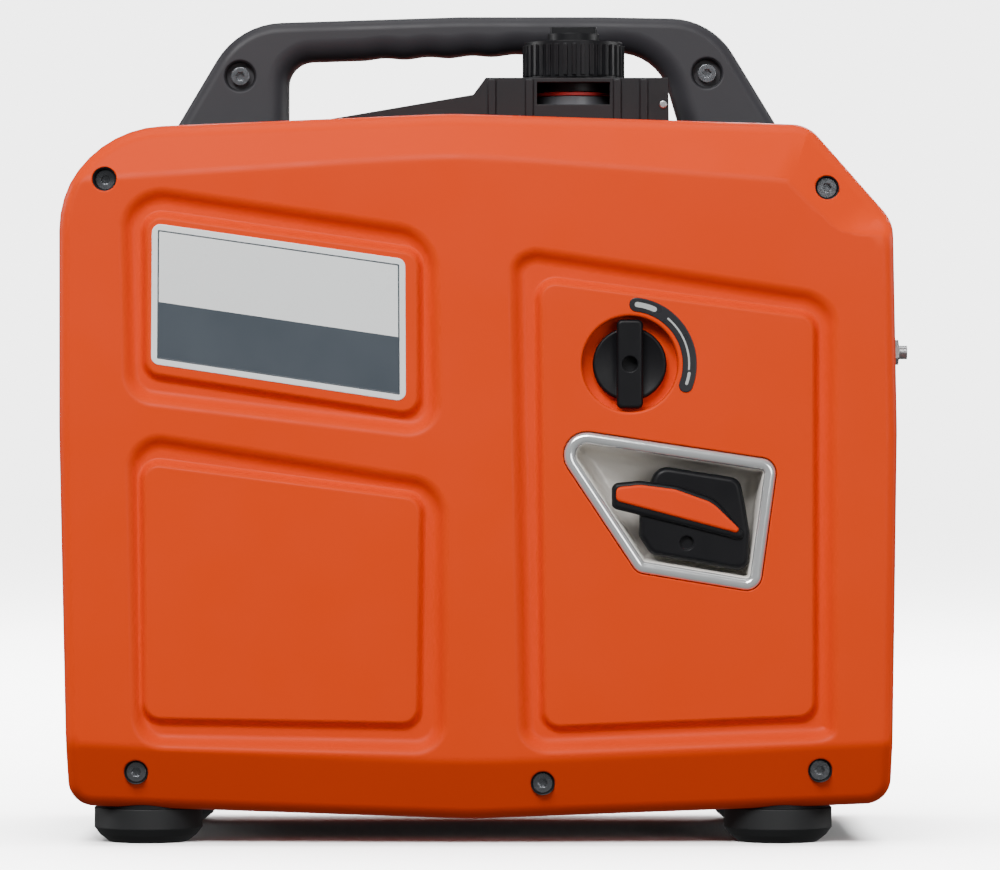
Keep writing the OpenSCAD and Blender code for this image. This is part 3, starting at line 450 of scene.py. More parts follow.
class Nodes:
    """A short way to wire one material's nodes."""

    def __init__(self, name):
        self.material = bpy.data.materials.new(name)
        self.material.use_nodes = True
        self.tree = self.material.node_tree
        self.shader = self.tree.nodes["Principled BSDF"]
        self.place = self.add("ShaderNodeTexCoord").outputs["Object"]

    def add(self, kind, **values):
        node = self.tree.nodes.new(kind)
        for key, value in values.items():
            setattr(node, key, value)
        return node

    def link(self, a, b):
        self.tree.links.new(a, b)

    def noise(self, scale, detail=3.0, rough=0.55, stretch=None):
        node = self.add("ShaderNodeTexNoise")
        node.inputs["Scale"].default_value = scale
        node.inputs["Detail"].default_value = detail
        node.inputs["Roughness"].default_value = rough
        place = self.place
        if stretch:
            mapping = self.add("ShaderNodeMapping")
            mapping.inputs["Scale"].default_value = stretch
            self.link(self.place, mapping.inputs["Vector"])
            place = mapping.outputs["Vector"]
        self.link(place, node.inputs["Vector"])
        return node.outputs["Fac"]

    def ramp(self, value, low, high, a=0.0, b=1.0):
        node = self.add("ShaderNodeMapRange")
        node.inputs["From Min"].default_value = low
        node.inputs["From Max"].default_value = high
        node.inputs["To Min"].default_value = a
        node.inputs["To Max"].default_value = b
        self.link(value, node.inputs["Value"])
        return node.outputs["Result"]

    def mix(self, factor, a, b):
        """Colour a where factor is 0, b where it is 1. Each is a colour or a socket."""
        node = self.add("ShaderNodeMix", data_type="RGBA")
        self.link(factor, node.inputs["Factor"])
        for index, value in zip(MIX_COLOURS, (a, b)):
            if isinstance(value, (tuple, list)):
                node.inputs[index].default_value = (*value[:3], 1)
            else:
                self.link(value, node.inputs[index])
        return node.outputs[MIX_RESULT]

    def math(self, operation, a, b):
        node = self.add("ShaderNodeMath", operation=operation)
        for socket, value in zip(node.inputs, (a, b)):
            if isinstance(value, (int, float)):
                socket.default_value = value
            else:
                self.link(value, socket)
        return node.outputs[0]

    def edges(self, radius):
        """1 along convex and concave edges narrower than radius, 0 on flats."""
        bevel = self.add("ShaderNodeBevel", samples=6)
        bevel.inputs["Radius"].default_value = radius
        geometry = self.add("ShaderNodeNewGeometry")
        dot = self.add("ShaderNodeVectorMath", operation="DOT_PRODUCT")
        self.link(bevel.outputs[0], dot.inputs[0])
        self.link(geometry.outputs["Normal"], dot.inputs[1])
        return self.ramp(dot.outputs["Value"], 0.995, 0.9)

    def bump(self, height, strength, distance, bevel=0.0):
        node = self.add("ShaderNodeBump")
        node.inputs["Strength"].default_value = strength
        node.inputs["Distance"].default_value = distance
        self.link(height, node.inputs["Height"])
        if bevel:
            soft = self.add("ShaderNodeBevel", samples=6)
            soft.inputs["Radius"].default_value = bevel
            self.link(soft.outputs[0], node.inputs["Normal"])
        self.link(node.outputs["Normal"], self.shader.inputs["Normal"])


def moulded(name, colour, rough=0.42, grain=1500, grain_h=0.00004, vary=0.06, edge_wear_and_sheen=0.25,
            bevel=0.0008, specular=0.5, coat=0.0):
    """Moulded plastic: fine spark-eroded grain, faint flow variation, and edges lightened partly as
    rubbed wear and partly as a painted highlight.
    """
    n = Nodes(name)
    broad = n.noise(9, 2)
    dark = tuple(c * (1 - vary) for c in colour)
    light = tuple(min(1, c * (1 + vary) + 0.002) for c in colour)
    base = n.mix(broad, dark, light)
    # Lighter edges, partly rubbed wear and partly a painted highlight, in patches along convex and
    # concave edges.
    if edge_wear_and_sheen:
        rubbed_and_sheen_colour = tuple(min(1, c * 1.25 + 0.02) for c in colour)
        patch = n.ramp(n.noise(60, 3), 0.42, 0.62)
        base = n.mix(n.math("MULTIPLY", n.math("MULTIPLY", n.edges(0.0015), patch), edge_wear_and_sheen), base, rubbed_and_sheen_colour)
    n.link(base, n.shader.inputs["Base Color"])
    n.link(n.ramp(n.noise(35, 4), 0.3, 0.7, rough - 0.05, rough + 0.07), n.shader.inputs["Roughness"])
    n.shader.inputs["Specular IOR Level"].default_value = specular
    n.shader.inputs["Coat Weight"].default_value = coat
    n.shader.inputs["Coat Roughness"].default_value = 0.25
    n.bump(n.noise(grain, 2), 0.35, grain_h, bevel)
    return n.material


def metal(name, colour, rough=0.3, stretch=(1, 1, 1), vary=0.12, grain=400, tarnish=None, bevel=0.0006,
          metallic=1.0):
    """Metal with fine directional texture, patchy polish and optional tarnish."""
    n = Nodes(name)
    patch = n.noise(25, 4)
    dark = tuple(c * (1 - vary) for c in colour)
    base = n.mix(patch, dark, colour)
    if tarnish:
        base = n.mix(n.ramp(n.noise(12, 5, 0.65), 0.45, 0.68), base, tarnish)
    n.link(base, n.shader.inputs["Base Color"])
    n.shader.inputs["Metallic"].default_value = metallic
    n.link(n.ramp(n.noise(grain, 3, 0.6, stretch), 0.25, 0.75, rough * 0.8, rough * 1.25),
           n.shader.inputs["Roughness"])
    n.bump(n.noise(grain, 2, 0.5, stretch), 0.25, 0.00003, bevel)
    return n.material


def woven(name, colour, thread, rough=0.85):
    """Braided or foamed stuff: crossing waves over a soft noise."""
    n = Nodes(name)
    wave = n.add("ShaderNodeTexWave", wave_type="BANDS", bands_direction="DIAGONAL")
    wave.inputs["Scale"].default_value = 1 / thread
    wave.inputs["Distortion"].default_value = 1.5
    n.link(n.place, wave.inputs["Vector"])
    dark = tuple(c * 0.5 for c in colour)
    n.link(n.mix(wave.outputs["Fac"], dark, colour), n.shader.inputs["Base Color"])
    n.link(n.ramp(n.noise(300, 3), 0.3, 0.7, rough - 0.1, rough + 0.05), n.shader.inputs["Roughness"])
    n.bump(wave.outputs["Fac"], 0.6, 0.0003)
    return n.material


ORANGE = (0.82, 0.052, 0.001)
# For moulded: colour, roughness, grain scale, grain height in metres, colour variation, edge wear with
# painted edge highlight.
M = {
    "cover_shell_orange": moulded("orange_cover", ORANGE, 0.40, 1800, 0.00002, 0.035, 0.12, specular=0.1),
    "grip_orange": moulded("orange_grip", (0.85, 0.05, 0.001), 0.5, 1200, 0.00003, 0.05, 0.15,
                           specular=0.12),
    "frame_black": moulded("frame_plastic", (0.009, 0.009, 0.011), 0.46, 1100, 0.00008, 0.12, 0.5,
                           specular=0.3),
    "handle_grey": moulded("handle_plastic", (0.030, 0.029, 0.034), 0.5, 1300, 0.00005, 0.06, 0.3,
                           specular=0.35),
    "moulded_black": moulded("black_plastic", (0.006, 0.006, 0.0075), 0.4, 1300, 0.00005, 0.12, 0.4,
                             specular=0.2),
    "panel_grey": moulded("panel_plastic", (0.075, 0.076, 0.082), 0.45, 1300, 0.00005, 0.06, 0.3),
    "tank_grey": moulded("tank_enamel", (0.10, 0.10, 0.11), 0.35, 600, 0.00003, 0.08, 0.3),
    "foot_rubber": moulded("rubber", (0.012, 0.013, 0.014), 0.6, 900, 0.00008, 0.15, 0.4),
    "bright_steel": metal("zinc_steel", (0.56, 0.57, 0.58), 0.3),
    "screw_black": metal("blackened_steel", (0.24, 0.25, 0.27), 0.25, vary=0.2, metallic=0.9),
    "bezel_chrome": metal("chrome", (0.97, 0.99, 1.0), 0.13, vary=0.03, grain=250, bevel=0.0,
                          metallic=0.7),
    "pan_silver": metal("silver_paint", (0.95, 0.91, 0.85), 0.35, vary=0.03, bevel=0.0,
                        metallic=0.1),
    "exhaust_steel": metal("exhaust_steel", (0.36, 0.34, 0.32), 0.42, tarnish=(0.2, 0.11, 0.06)),
    "cast_alloy": metal("cast_alloy", (0.5, 0.5, 0.5), 0.5, grain=700, tarnish=(0.3, 0.3, 0.3)),
    "winding_copper": metal("windings", (0.5, 0.2, 0.08), 0.35, (1, 12, 1)),
    "filter_foam": woven("foam", (0.45, 0.38, 0.18), 0.003),
    "rope_fabric": woven("rope", (0.03, 0.03, 0.032), 0.0012),
    "seal_red": moulded("red_seal", (0.5, 0.02, 0.02), 0.5, 900, 0.00003, 0.1, 0.0),
    "socket_red": moulded("red_plastic", (0.45, 0.02, 0.018), 0.3, 900, 0.00002, 0.08, 0.2),
    "lens_green": moulded("green_lens", (0.03, 0.3, 0.06), 0.12, 300, 0.00001, 0.1, 0.0, coat=0.6),
    "plate_silver": moulded("plate_film", (0.96, 1.0, 1.0), 0.3, 900, 0.00001, 0.03, 0.0),
    "print_slate": moulded("slate_print", (0.06, 0.075, 0.092), 0.35, 900, 0.00001, 0.05, 0.0),
    "print_white": moulded("white_print", (0.5, 0.52, 0.52), 0.35, 900, 0.00001, 0.05, 0.0),
    "scale_black": moulded("scale_film", (0.02, 0.02, 0.024), 0.3, 900, 0.00001, 0.08, 0.1),
}
# Every CAD node gets its slot's material, because some of them stay in sight.
for entry in frame["record"]["subparts"]:
    obj = frame["nodes"][entry["node"]]
    obj.data.materials.clear()
    obj.data.materials.append(M[entry["material_slot"]])


# ---- the two moulded covers ----------------------------------------------------------------------

TOP_LEAN, BOTTOM_LEAN, LEDGE_LEAN = math.radians(27), math.radians(28), math.radians(50)
CREASE_SOFT, LEDGE_SOFT, BEND_SOFT, CORNER_SOFT = 2.5, 4, 3, 2     # how far the bends are rounded
# Each band's two creases, meeting at one point, and its lean.
CREASES = {
    "top": ([(-15, 379.6, 93.8), (-15, 379.6, 85.4)], TOP_LEAN),
    "bottom": ([(-9, 45.5, -92.9), (-9, 45.5, -87.2)], BOTTOM_LEAN),
}
CREASE_LEFT, CREASE_RIGHT = -215, 230     # how far they run to each side
BEND_SHIFTS = (-2.5, -1.2, 0, 1.2, 2.5)   # where guides follow a crease's rounding
# The cut corner: creases of its lean and of the ledge under it, as (x, z, direction in degrees).
CORNER = ((164.2, 365.3, 45), (192.1, 337.4, 86.6))


def beyond(p, crease):
    """How far p lies past a crease (x, z, direction in degrees)."""
    a = math.radians(crease[2])
    return (p[:, 0] - crease[0]) * math.cos(a) + (p[:, 1] - crease[1]) * math.sin(a)


def facets(p):
    """Depth of the sloping bands behind the flat face."""
    depth = np.zeros(len(p))
    for creases, lean in CREASES.values():
        n = soft_max(beyond(p, creases[0]), beyond(p, creases[1]), BEND_SOFT)
        depth = np.maximum(depth, ramp(n, CREASE_SOFT) * math.tan(lean))
    side = ramp(beyond(p, CORNER[0]), CREASE_SOFT) * math.tan(TOP_LEAN)
    ledge = ramp(beyond(p, CORNER[1]), LEDGE_SOFT) * math.tan(LEDGE_LEAN)
    corner = -soft_max(-side, -ledge, CORNER_SOFT)
    return np.maximum(depth, np.maximum(corner, 0))


def recess_depth(p, outer, pad):
    """Depth of one recess: down its outer wall, then up the step to its pad."""
    a = distance(p, outer)[0]
    b = distance(p, pad)[0]
    down = GROOVE_DEPTH * soft_step((a + WALL_REACH) / SLOPE_W, 0.5)
    return down - (GROOVE_DEPTH - PAD_DROP) * soft_step((b + PAD_REACH) / PAD_W, 0.5)


OUTER_R, PAD_R = 17, 9       # corner radii of a recess and of its pad
SHORT_EDGE, SOFT_R = 30, 26  # beside an edge shorter than this, corners get the wider radius
FIELDS = [(UPPER_RECESS, UPPER_PAD), (LOWER_RECESS, LOWER_PAD), (RIGHT_RECESS, RIGHT_PAD)]


def field_radii(points, r):
    """A radius for each corner: r, wider beside short edges, and never more than an edge can carry."""
    p = np.array(points, float)
    edge = np.roll(p, -1, 0) - p
    length = np.linalg.norm(edge, axis=1)
    way = edge / length[:, None]
    out = []
    for i in range(len(p)):
        turn = math.acos(max(-1, min(1, float(way[i - 1] @ way[i]))))
        shorter = min(length[i - 1], length[i])
        limit = 0.49 * shorter / math.tan(turn / 2)
        out.append(min(max(r, SOFT_R) if shorter < SHORT_EDGE else r, limit))
    return out


def field_ring(points, r, d=0.0):
    """A recess's or pad's rounded ring, d inside it."""
    return ring(points, field_radii(points, r), d)


FIELD_RINGS = [(field_ring(o, OUTER_R), field_ring(p, PAD_R)) for o, p in FIELDS]


def cover_relief(p):
    """Depth of a cover's face: its sloping bands and its three recesses."""
    depth = facets(p)
    for outer, pad in FIELD_RINGS:
        depth = depth + recess_depth(p, outer, pad)
    return depth


def crease_arm(crease, reach, shift, count):
    """Points along a crease, shift past it, from its given point on."""
    a = math.radians(crease[2])
    n = np.array((math.cos(a), math.sin(a)))
    along = np.array((n[1], -n[0]))
    if along[0] * reach < 0:
        along = -along
    base = np.array(crease[:2]) + n * shift
    return [base + along * abs(reach) * k / count for k in range(count + 1)]


def crease_guides():
    """Lines along the creases, close enough together to carry their rounding."""
    out = []
    for (left, right), _ in CREASES.values():
        up = math.copysign(1, right[2])
        for shift in (-4, *BEND_SHIFTS, 4):
            bend = np.array((right[0], right[1] + up * shift))
            line = crease_arm(left, CREASE_LEFT, shift, 20)[:0:-1] + [bend]
            out.append((np.array(line + crease_arm(right, CREASE_RIGHT, shift, 20)[1:]),))
    for crease, reach in ((CORNER[0], 40), (CORNER[1], 33)):
        for shift in BEND_SHIFTS:
            out.append((np.array(crease_arm(crease, reach, shift, 6)),))
    return out


def field_guides():
    """Rings across each recess's wall and each pad's step."""
    steps = np.arange(11) / 10
    out = []
    for outer, pad in FIELDS:
        out += [field_ring(outer, OUTER_R, SLOPE_W * t - WALL_REACH) for t in steps]
        out += [field_ring(pad, PAD_R, PAD_W * t - PAD_REACH) for t in steps]
    return out


BODY_RING = densify(rounded(BODY, BODY_R, 10), 9)
BODY_CUT = densify(rounded(inset(BODY, 0.8), BODY_R, 10), 6)
EDGE_R = 7.0                 # rounding of a cover's outer edge
POCKET_R = 6.6
DIAL_RECESS_R = 26.3
DOOR_REACH = 1.8             # depth of the door's seat behind the face


def build_cover(name, node, hand, holes):
    """One cover's skin with its five screw pockets and the given holes."""
    pockets = [Hole(circle(p, POCKET_R, 40), 0.8, SCREW_FLOOR, True) for p in SCREWS]
    skin = make_skin(name, BODY_RING, EDGE_R, cover_relief, crease_guides() + field_guides(),
                     pockets + holes, FACE_Y, SEAM_Y, hand=hand)
    finish_piece(skin, M["cover_shell_orange"], "generator", "cover_shell_orange", node)


def pocket_shade_liners(prefix, hand):
    """Black cups that paint the shade of the deep screw pockets, each ending just behind the sloping rim.
    """
    for i, p in enumerate(SCREWS):
        rim = FACE_Y + float(cover_relief(np.array([p]))[0]) + 0.9
        profile = [(-0.05, rim), (0.0, rim), (0.7, rim + 0.5), (0.9, SCREW_FLOOR - 0.4)]
        # Painted shade: a black cup lines the orange pocket so it reads dark.
        shade_cup = make_sweep(f"{prefix}_pocket_{i + 1}", round_loop(p, POCKET_R - 0.1), profile,
                         cap=True, hand=hand)
        finish_piece(shade_cup, M["frame_black"], "generator", "frame_black")


def build_covers():
    """Both covers, and the seat for the service door."""
    build_cover("starter_side_skin", "starter_side_cover", 1,
                [Hole(circle(DIAL, DIAL_RECESS_R, 72), 1.6, DIAL_FLOOR, True),
                 Hole(ring(BEZEL, BEZEL_R, 0.0, 6), 0.6, FACE_Y + 5, False)])
    build_cover("service_side_skin", "service_side_cover", -1,
                [Hole(ring(DOOR_OPENING, DOOR_R, 2.0), 0.6, FACE_Y + DOOR_REACH, False)])
    seat = [(2.0, FACE_Y + DOOR_REACH), (6.4, FACE_Y + DOOR_REACH), (7.0, FACE_Y + DOOR_REACH + 0.6),
            (7.0, FACE_Y + 5)]
    ledge = make_sweep("service_door_seat", inset_loop(DOOR_OPENING, [6] * 4), seat, hand=-1)
    finish_piece(ledge, M["cover_shell_orange"], "generator", "cover_shell_orange")
    pocket_shade_liners("starter_side", 1)
    pocket_shade_liners("service_side", -1)


DOOR_BACK_Y = FACE_Y + 1.5
STIFFENER_Y = FACE_Y + 6     # back of the door's rib and latch boss
DOOR_FIELD_D = 11.0          # how far inside the door's outline its sunk field starts
DOOR_FIELD = ring(DOOR, DOOR_R, DOOR_FIELD_D)
LATCH, LATCH_HOLE_R = (164, 187), 4.1
BARREL_R = 0.7


def door_relief(p):
    """A shallow sunk field."""
    d = distance(p, DOOR_FIELD)[0]
    return 0.7 * soft_step(d / 2)


def build_door():
    """The service door: face, back, stiffening rib, latch boss and hinge barrel."""
    guides = [ring(DOOR, DOOR_R, DOOR_FIELD_D + d) for d in (0, 0.4, 1, 1.6, 2)]
    latch_loop = circle(LATCH, LATCH_HOLE_R, 32)
    door = make_skin("service_door_skin", ring(DOOR, DOOR_R, 2.3), 0.7, door_relief, guides,
                     [Hole(latch_loop, 0.5, DOOR_BACK_Y, False)], FACE_Y, DOOR_BACK_Y, hand=-1, lip=0)
    back = make_plate("service_door_back", ring(DOOR, DOOR_R, 2.5), 0.2, FACE_Y + 1.2, DOOR_BACK_Y,
                      [Hole(latch_loop, 0.1, DOOR_BACK_Y, False)], hand=-1)
    root, tip = DOOR_BACK_Y - 0.1, STIFFENER_Y
    rib_steps = [(9, root), (9, tip - 0.4), (9.4, tip), (11.6, tip), (12, tip - 0.4), (12, root)]
    rib = make_sweep("service_door_rib", inset_loop(DOOR, [12] * 4), rib_steps, hand=-1)
    boss_steps = [(0, root), (0, tip - 0.4), (0.4, tip), (3.9, tip)]
    boss = make_sweep("service_door_boss", round_loop(LATCH, 8), boss_steps, hand=-1)
    for piece in (back, rib, boss):
        piece.data.flip_normals()
    x, y = DOOR_PIN
    barrel = make_tube("service_door_barrel", [(x, z, -y) for z in np.linspace(78, 298, 12)],
                       BARREL_R, 12)
    for piece in (door, back, rib, boss, barrel):
        finish_piece(piece, M["cover_shell_orange"], "service_door", "cover_shell_orange", "service_door")


# ---- carrying handle -----------------------------------------------------------------------------

HANDLE = [(-193.3, 376), (181.5, 376), (128.2, 463.8), (64, 465), (-16, 465), (-142.7, 461)]
HANDLE_R = [3, 3, 42, 150, 150, 45]
WINDOW = [(-114, 370), (119.5, 370), (97, 446), (-114, 439.4)]
WINDOW_R = [3, 3, 30, 14]
HANDLE_SCREWS = [(-141.5, 430.8), (125.3, 432.5)]
HANDLE_POCKET_R = 8.6
HANDLE_MID, HANDLE_HALF = 12.0, 17.0
JOINT_GAP = 0.05             # between each half and the handle's middle
RIPPLE_FROM, RIPPLE_TO, RIPPLE_PITCH, RIPPLE_H = -72, 32, 25, 1.1
BAR_Z = 420                  # height that the bar's underside lies above


def window_ring():
    """The hand opening, with finger ripples along the underside of the bar."""
    loop = ring(WINDOW, WINDOW_R, 0.0, 3)
    on_bar = (loop[:, 0] > RIPPLE_FROM) & (loop[:, 0] < RIPPLE_TO) & (loop[:, 1] > BAR_Z)
    phase = (loop[:, 0] - RIPPLE_FROM) / RIPPLE_PITCH * 2 * math.pi
    loop[on_bar, 1] += (RIPPLE_H * 0.5 * (1 - np.cos(phase)))[on_bar]
    return loop


def build_handle():
    """Two half shells that meet in the middle, standing on the body."""
    outer = ring(HANDLE, HANDLE_R, 0.0, 8)
    for name, node, hand in (("handle_front_skin", "handle_front_half", 1),
                             ("handle_rear_skin", "handle_rear_half", -1)):
        holes = [Hole(window_ring(), 12.5, -JOINT_GAP, False)]
        if hand > 0:
            holes += [Hole(circle(p, HANDLE_POCKET_R, 40), 1.2, 6 - HANDLE_HALF, True)
                      for p in HANDLE_SCREWS]
        skin = make_skin(name, outer, 6.5, flat_relief, [], holes, -HANDLE_HALF, -JOINT_GAP,
                         hand=hand, lip=0, mid_y=HANDLE_MID, cuts=[BODY_CUT])
        finish_piece(skin, M["handle_grey"], "generator", "handle_grey", node)


def handle_pocket_shade_liners():
    """Black cups that paint the shade in the handle's screw pockets."""
    front = HANDLE_MID - HANDLE_HALF
    for i, p in enumerate(HANDLE_SCREWS):
        profile = [(-0.05, front + 1.1), (0, front + 1.1), (0.6, front + 1.6), (0.8, front + 22.6)]
        # Painted shade: a black cup lines the grey pocket so it reads dark.
        shade_cup = make_sweep(f"handle_pocket_{i + 1}", round_loop(p, HANDLE_POCKET_R - 0.1), profile,
                         cap=True)
        finish_piece(shade_cup, M["frame_black"], "generator", "frame_black")


# ---- name plate, dial and starter ----------------------------------------------------------------

def build_name_plate():
    """A blank two-tone plate with a thin border line."""
    front_y, border, dark_part = FACE_Y + 0.2, 4.4, 0.44
    plate = make_plate("name_plate_sheet", ring(PLATE, [5] * 4, 0.3, 9), 0.25, front_y, FACE_Y + 1)
    finish_piece(plate, M["plate_silver"], "generator", "plate_silver", "name_plate")
    line = make_sweep("name_plate_line", inset_loop(PLATE, [4.2] * 4),
                      [(3.6, front_y), (3.6, front_y - 0.03), (border, front_y - 0.03),
                       (border, front_y)])
    finish_piece(line, M["print_slate"], "generator", None, "name_plate")
    low = inset(PLATE, border)
    band = [low[0], low[1], low[1] + (low[2] - low[1]) * dark_part,
            low[0] + (low[3] - low[0]) * dark_part]
    strip = make_plate("name_plate_band", rounded(band, [0.5, 0.5, 0.3, 0.3], 3), 0.03,
                       front_y - 0.04, front_y)
    finish_piece(strip, M["print_slate"], "generator", None, "name_plate")


def sector_loop(r0, r1, a0, a1, n=30):
    """A band round the dial from a0 to a1 degrees with round ends."""
    a = np.radians(np.linspace(a0, a1, n))
    half, mid = (r1 - r0) / 2, (r0 + r1) / 2
    outer = np.stack((r1 * np.cos(a), r1 * np.sin(a)), 1)
    inner = np.stack((r0 * np.cos(a), r0 * np.sin(a)), 1)[::-1]
    ends = []
    for angle, sign in ((a[-1], 1), (a[0], -1)):
        centre = mid * np.array((math.cos(angle), math.sin(angle)))
        start = angle if sign > 0 else angle + math.pi
        turn = start + np.linspace(0, math.pi, 10)[1:-1]
        ends.append(centre + half * np.stack((np.cos(turn), np.sin(turn)), 1))
    return np.vstack((outer, ends[0], inner, ends[1])) + DIAL


def build_dial_scale():
    """The curved scale beside the dial, with plain marks."""
    base = make_plate("dial_scale_band", sector_loop(28.9, 36.6, -21, 84), 0.2, FACE_Y + 0.1,
                      FACE_Y + 0.8)
    finish_piece(base, M["scale_black"], "generator", "scale_black", "dial_scale")
    # Each mark's inner and outer radius, and its first and last angle in degrees.
    marks = [(32.0, 33.6, -19, -9), (31.9, 32.9, -5, 50), (31.4, 34.2, 66, 83)]
    for i, (r0, r1, a0, a1) in enumerate(marks):
        mark = make_plate(f"dial_mark_{i + 1}", sector_loop(r0, r1, a0, a1), 0.02, FACE_Y + 0.06,
                          FACE_Y + 0.1)
        finish_piece(mark, M["print_white"], "generator", None, "dial_scale")


DISC_R, DISH_R, HOLLOW_R = 20.3, 18.6, 4.2     # the dial's disc, its dish and its bar's hollow


def build_dial():
    """The dial's dished disc and its grip bar with a round hollow."""
    x, z = DIAL
    disc = make_plate("dial_disc", circle(DIAL, DISC_R, 72), 1.4, FACE_Y + 7.5, FACE_Y + 12.7,
                      relief=disc_relief)
    w, h = 7.2, 24.4
    bar = [(x - w, z - h), (x + w, z - h), (x + w, z + h), (x - w, z + h)]
    bar_hole = [Hole(circle(DIAL, HOLLOW_R, 32), 0.6, FACE_Y + 12, True)]
    grip = make_plate("dial_bar", ring(bar, [3] * 4, 0, 4), 1.8, FACE_Y + 0.9, FACE_Y + 8.5, bar_hole)
    for piece in (disc, grip):
        finish_piece(piece, M["moulded_black"], "engine_dial", "moulded_black", "engine_dial")


def disc_relief(p):
    """A raised rim and a dished face."""
    r = np.hypot(p[:, 0] - DIAL[0], p[:, 1] - DIAL[1])
    return 0.9 * soft_step((DISH_R - r) / 1.6)


def build_bezel():
    """The bright frame round the starter, with a rounded crest."""
    crest, out_y, in_y = FACE_Y + 0.05, FACE_Y + 2.6, FACE_Y + 3.0
    crest_d, out_w, in_w = 3.6, 3.2, 3.3
    turn = np.linspace(0, math.pi / 2, 7)
    profile = [(crest_d - out_w, out_y + 1.5)]
    profile += [(crest_d - out_w * math.cos(a), out_y - (out_y - crest) * math.sin(a)) for a in turn]
    profile += [(crest_d + in_w * math.sin(a), crest + (in_y - crest) * (1 - math.cos(a)))
                for a in turn[1:]]
    profile.append((crest_d + in_w, in_y + 1.2))
    bezel = make_sweep("starter_bezel_ring", inset_loop(BEZEL, BEZEL_R), profile)
    finish_piece(bezel, M["bezel_chrome"], "generator", "bezel_chrome", "starter_bezel")


def build_pan():
    """The silver bowl behind the frame, rounded where its wall meets its floor."""
    mouth, bend, floor = FACE_Y + 3.3, FACE_Y + 26, FACE_Y + 34.5
    wall_d, bend_w = 8.8, 7
    profile = [(5.2, mouth), (6.9, mouth), (7.5, mouth + 0.9), (wall_d, bend)]
    profile += [(wall_d + bend_w * (1 - math.cos(a)), bend + (floor - bend) * math.sin(a))
                for a in np.linspace(0, math.pi / 2, 8)[1:]]
    pan = make_sweep("starter_pan_bowl", inset_loop(BEZEL, BEZEL_R), profile, cap=True)
    finish_piece(pan, M["pan_silver"], "generator", "pan_silver", "starter_pan")


GRIP = [(90, 160), (143, 150.5), (144, 172), (141.5, 188), (138.5, 202), (93.5, 209), (84, 186),
        (83.5, 170)]
GRIP_R = [6, 6, 6, 6, 7, 9, 6, 6]
INLAY = [(70.6, 189.6), (136, 172.2), (141, 171.6), (123.5, 188.6), (103, 195.9), (84, 198.4),
         (70.6, 197)]
INLAY_R = [3, 7, 1.7, 18, 20, 20, 3]
RIM = [(68.4, 185.5), (137, 168.2), (143.6, 168.6), (125.5, 190.6), (104, 198), (84, 200.6),
       (68.4, 199.2)]
RIM_R = [3.5, 7.5, 2.8, 18, 20, 20, 4]
STEM, STEM_R = (109.5, 166.5), 3.6     # the moulding's round gate mark under the inlay
ROPE_AT = (107, 178)         # (x, z) of the rope's straight run through its guide
ROPE_R = 1.9
CRANK = (30, 143)            # (x, z) of the reel's axis
WOUND_R = ROPE_AT[1] - CRANK[1]
REEL_Y, ROPE_BEND = -77, 8


def build_grip():
    """The starter grip: body, rim round the inlay, inlay, and the neck the rope enters."""
    hole = [Hole(circle(STEM, STEM_R, 32), 0.8, FACE_Y + 8, True)]
    body = make_plate("starter_grip_body", densify(rounded(GRIP, GRIP_R), 6), 3.0, FACE_Y + 5,
                      FACE_Y + 21, hole)
    rim = make_plate("starter_grip_rim", densify(rounded(RIM, RIM_R), 4), 2.4, FACE_Y + 2.8, FACE_Y + 14)
    inlay = make_plate("starter_grip_inlay", densify(rounded(INLAY, INLAY_R), 4), 1.5, FACE_Y + 1.5,
                       FACE_Y + 7.5)
    neck = make_tube("starter_grip_neck", [(*ROPE_AT, y) for y in (FACE_Y + 20, FACE_Y + 31)], 8)
    for piece in (body, rim, neck):
        finish_piece(piece, M["moulded_black"], "starter_grip", "moulded_black", "starter_grip")
    finish_piece(inlay, M["grip_orange"], "starter_grip", "grip_orange", "grip_insert")


def build_rope():
    """The coil on the reel, and the run that stretches as the grip is pulled."""
    coil = [(CRANK[0] + WOUND_R * math.cos(a), CRANK[1] + WOUND_R * math.sin(a), REEL_Y)
            for a in np.radians(np.arange(-240, 90, 6))]
    bend_x, bend_y = ROPE_AT[0] - ROPE_BEND, REEL_Y - ROPE_BEND
    coil += [(x, ROPE_AT[1], REEL_Y) for x in np.linspace(CRANK[0], bend_x, 12)]
    coil += [(bend_x + ROPE_BEND * math.sin(a), ROPE_AT[1], bend_y + ROPE_BEND * math.cos(a))
             for a in np.linspace(0.2, math.pi / 2, 8)]
    finish_piece(make_tube("starter_rope_coil", coil, ROPE_R), M["rope_fabric"], "generator",
                 "rope_fabric", "starter_rope")
    run = [(*ROPE_AT, y) for y in np.linspace(bend_y, FACE_Y + 13.5, 40)]
    rope = make_tube("starter_rope_run", run, ROPE_R)
    rope.data.materials.append(M["rope_fabric"])
    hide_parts("starter_rope")
    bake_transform(rope)


# ---- fuel filler collar --------------------------------------------------------------------------

COLLAR_RIBS = [2.5, 23.4, 72.6, 87.4]      # x of each rib's middle
RIB_HALF, RIB_LOW, RIB_HIGH = 2.4, 400, 425
COLLAR_SCREW = (98.2, 410.5)


def build_collar():
    """Upright ribs and a bright screw on the front of the collar round the filler."""
    for i, x in enumerate(COLLAR_RIBS):
        rib = [(x - RIB_HALF, RIB_LOW), (x + RIB_HALF, RIB_LOW), (x + RIB_HALF, RIB_HIGH),
               (x - RIB_HALF, RIB_HIGH)]
        piece = make_plate(f"collar_rib_{i + 1}", ring(rib, [1.2] * 4, 0, 6), 1.0, -74.4, -72.5)
        finish_piece(piece, M["frame_black"], "generator", "frame_black")
    screw = make_plate("collar_screw", circle(COLLAR_SCREW, 2.2, 24), 0.6, -73.9, -72.6)
    finish_piece(screw, M["bright_steel"], "generator", "bright_steel")


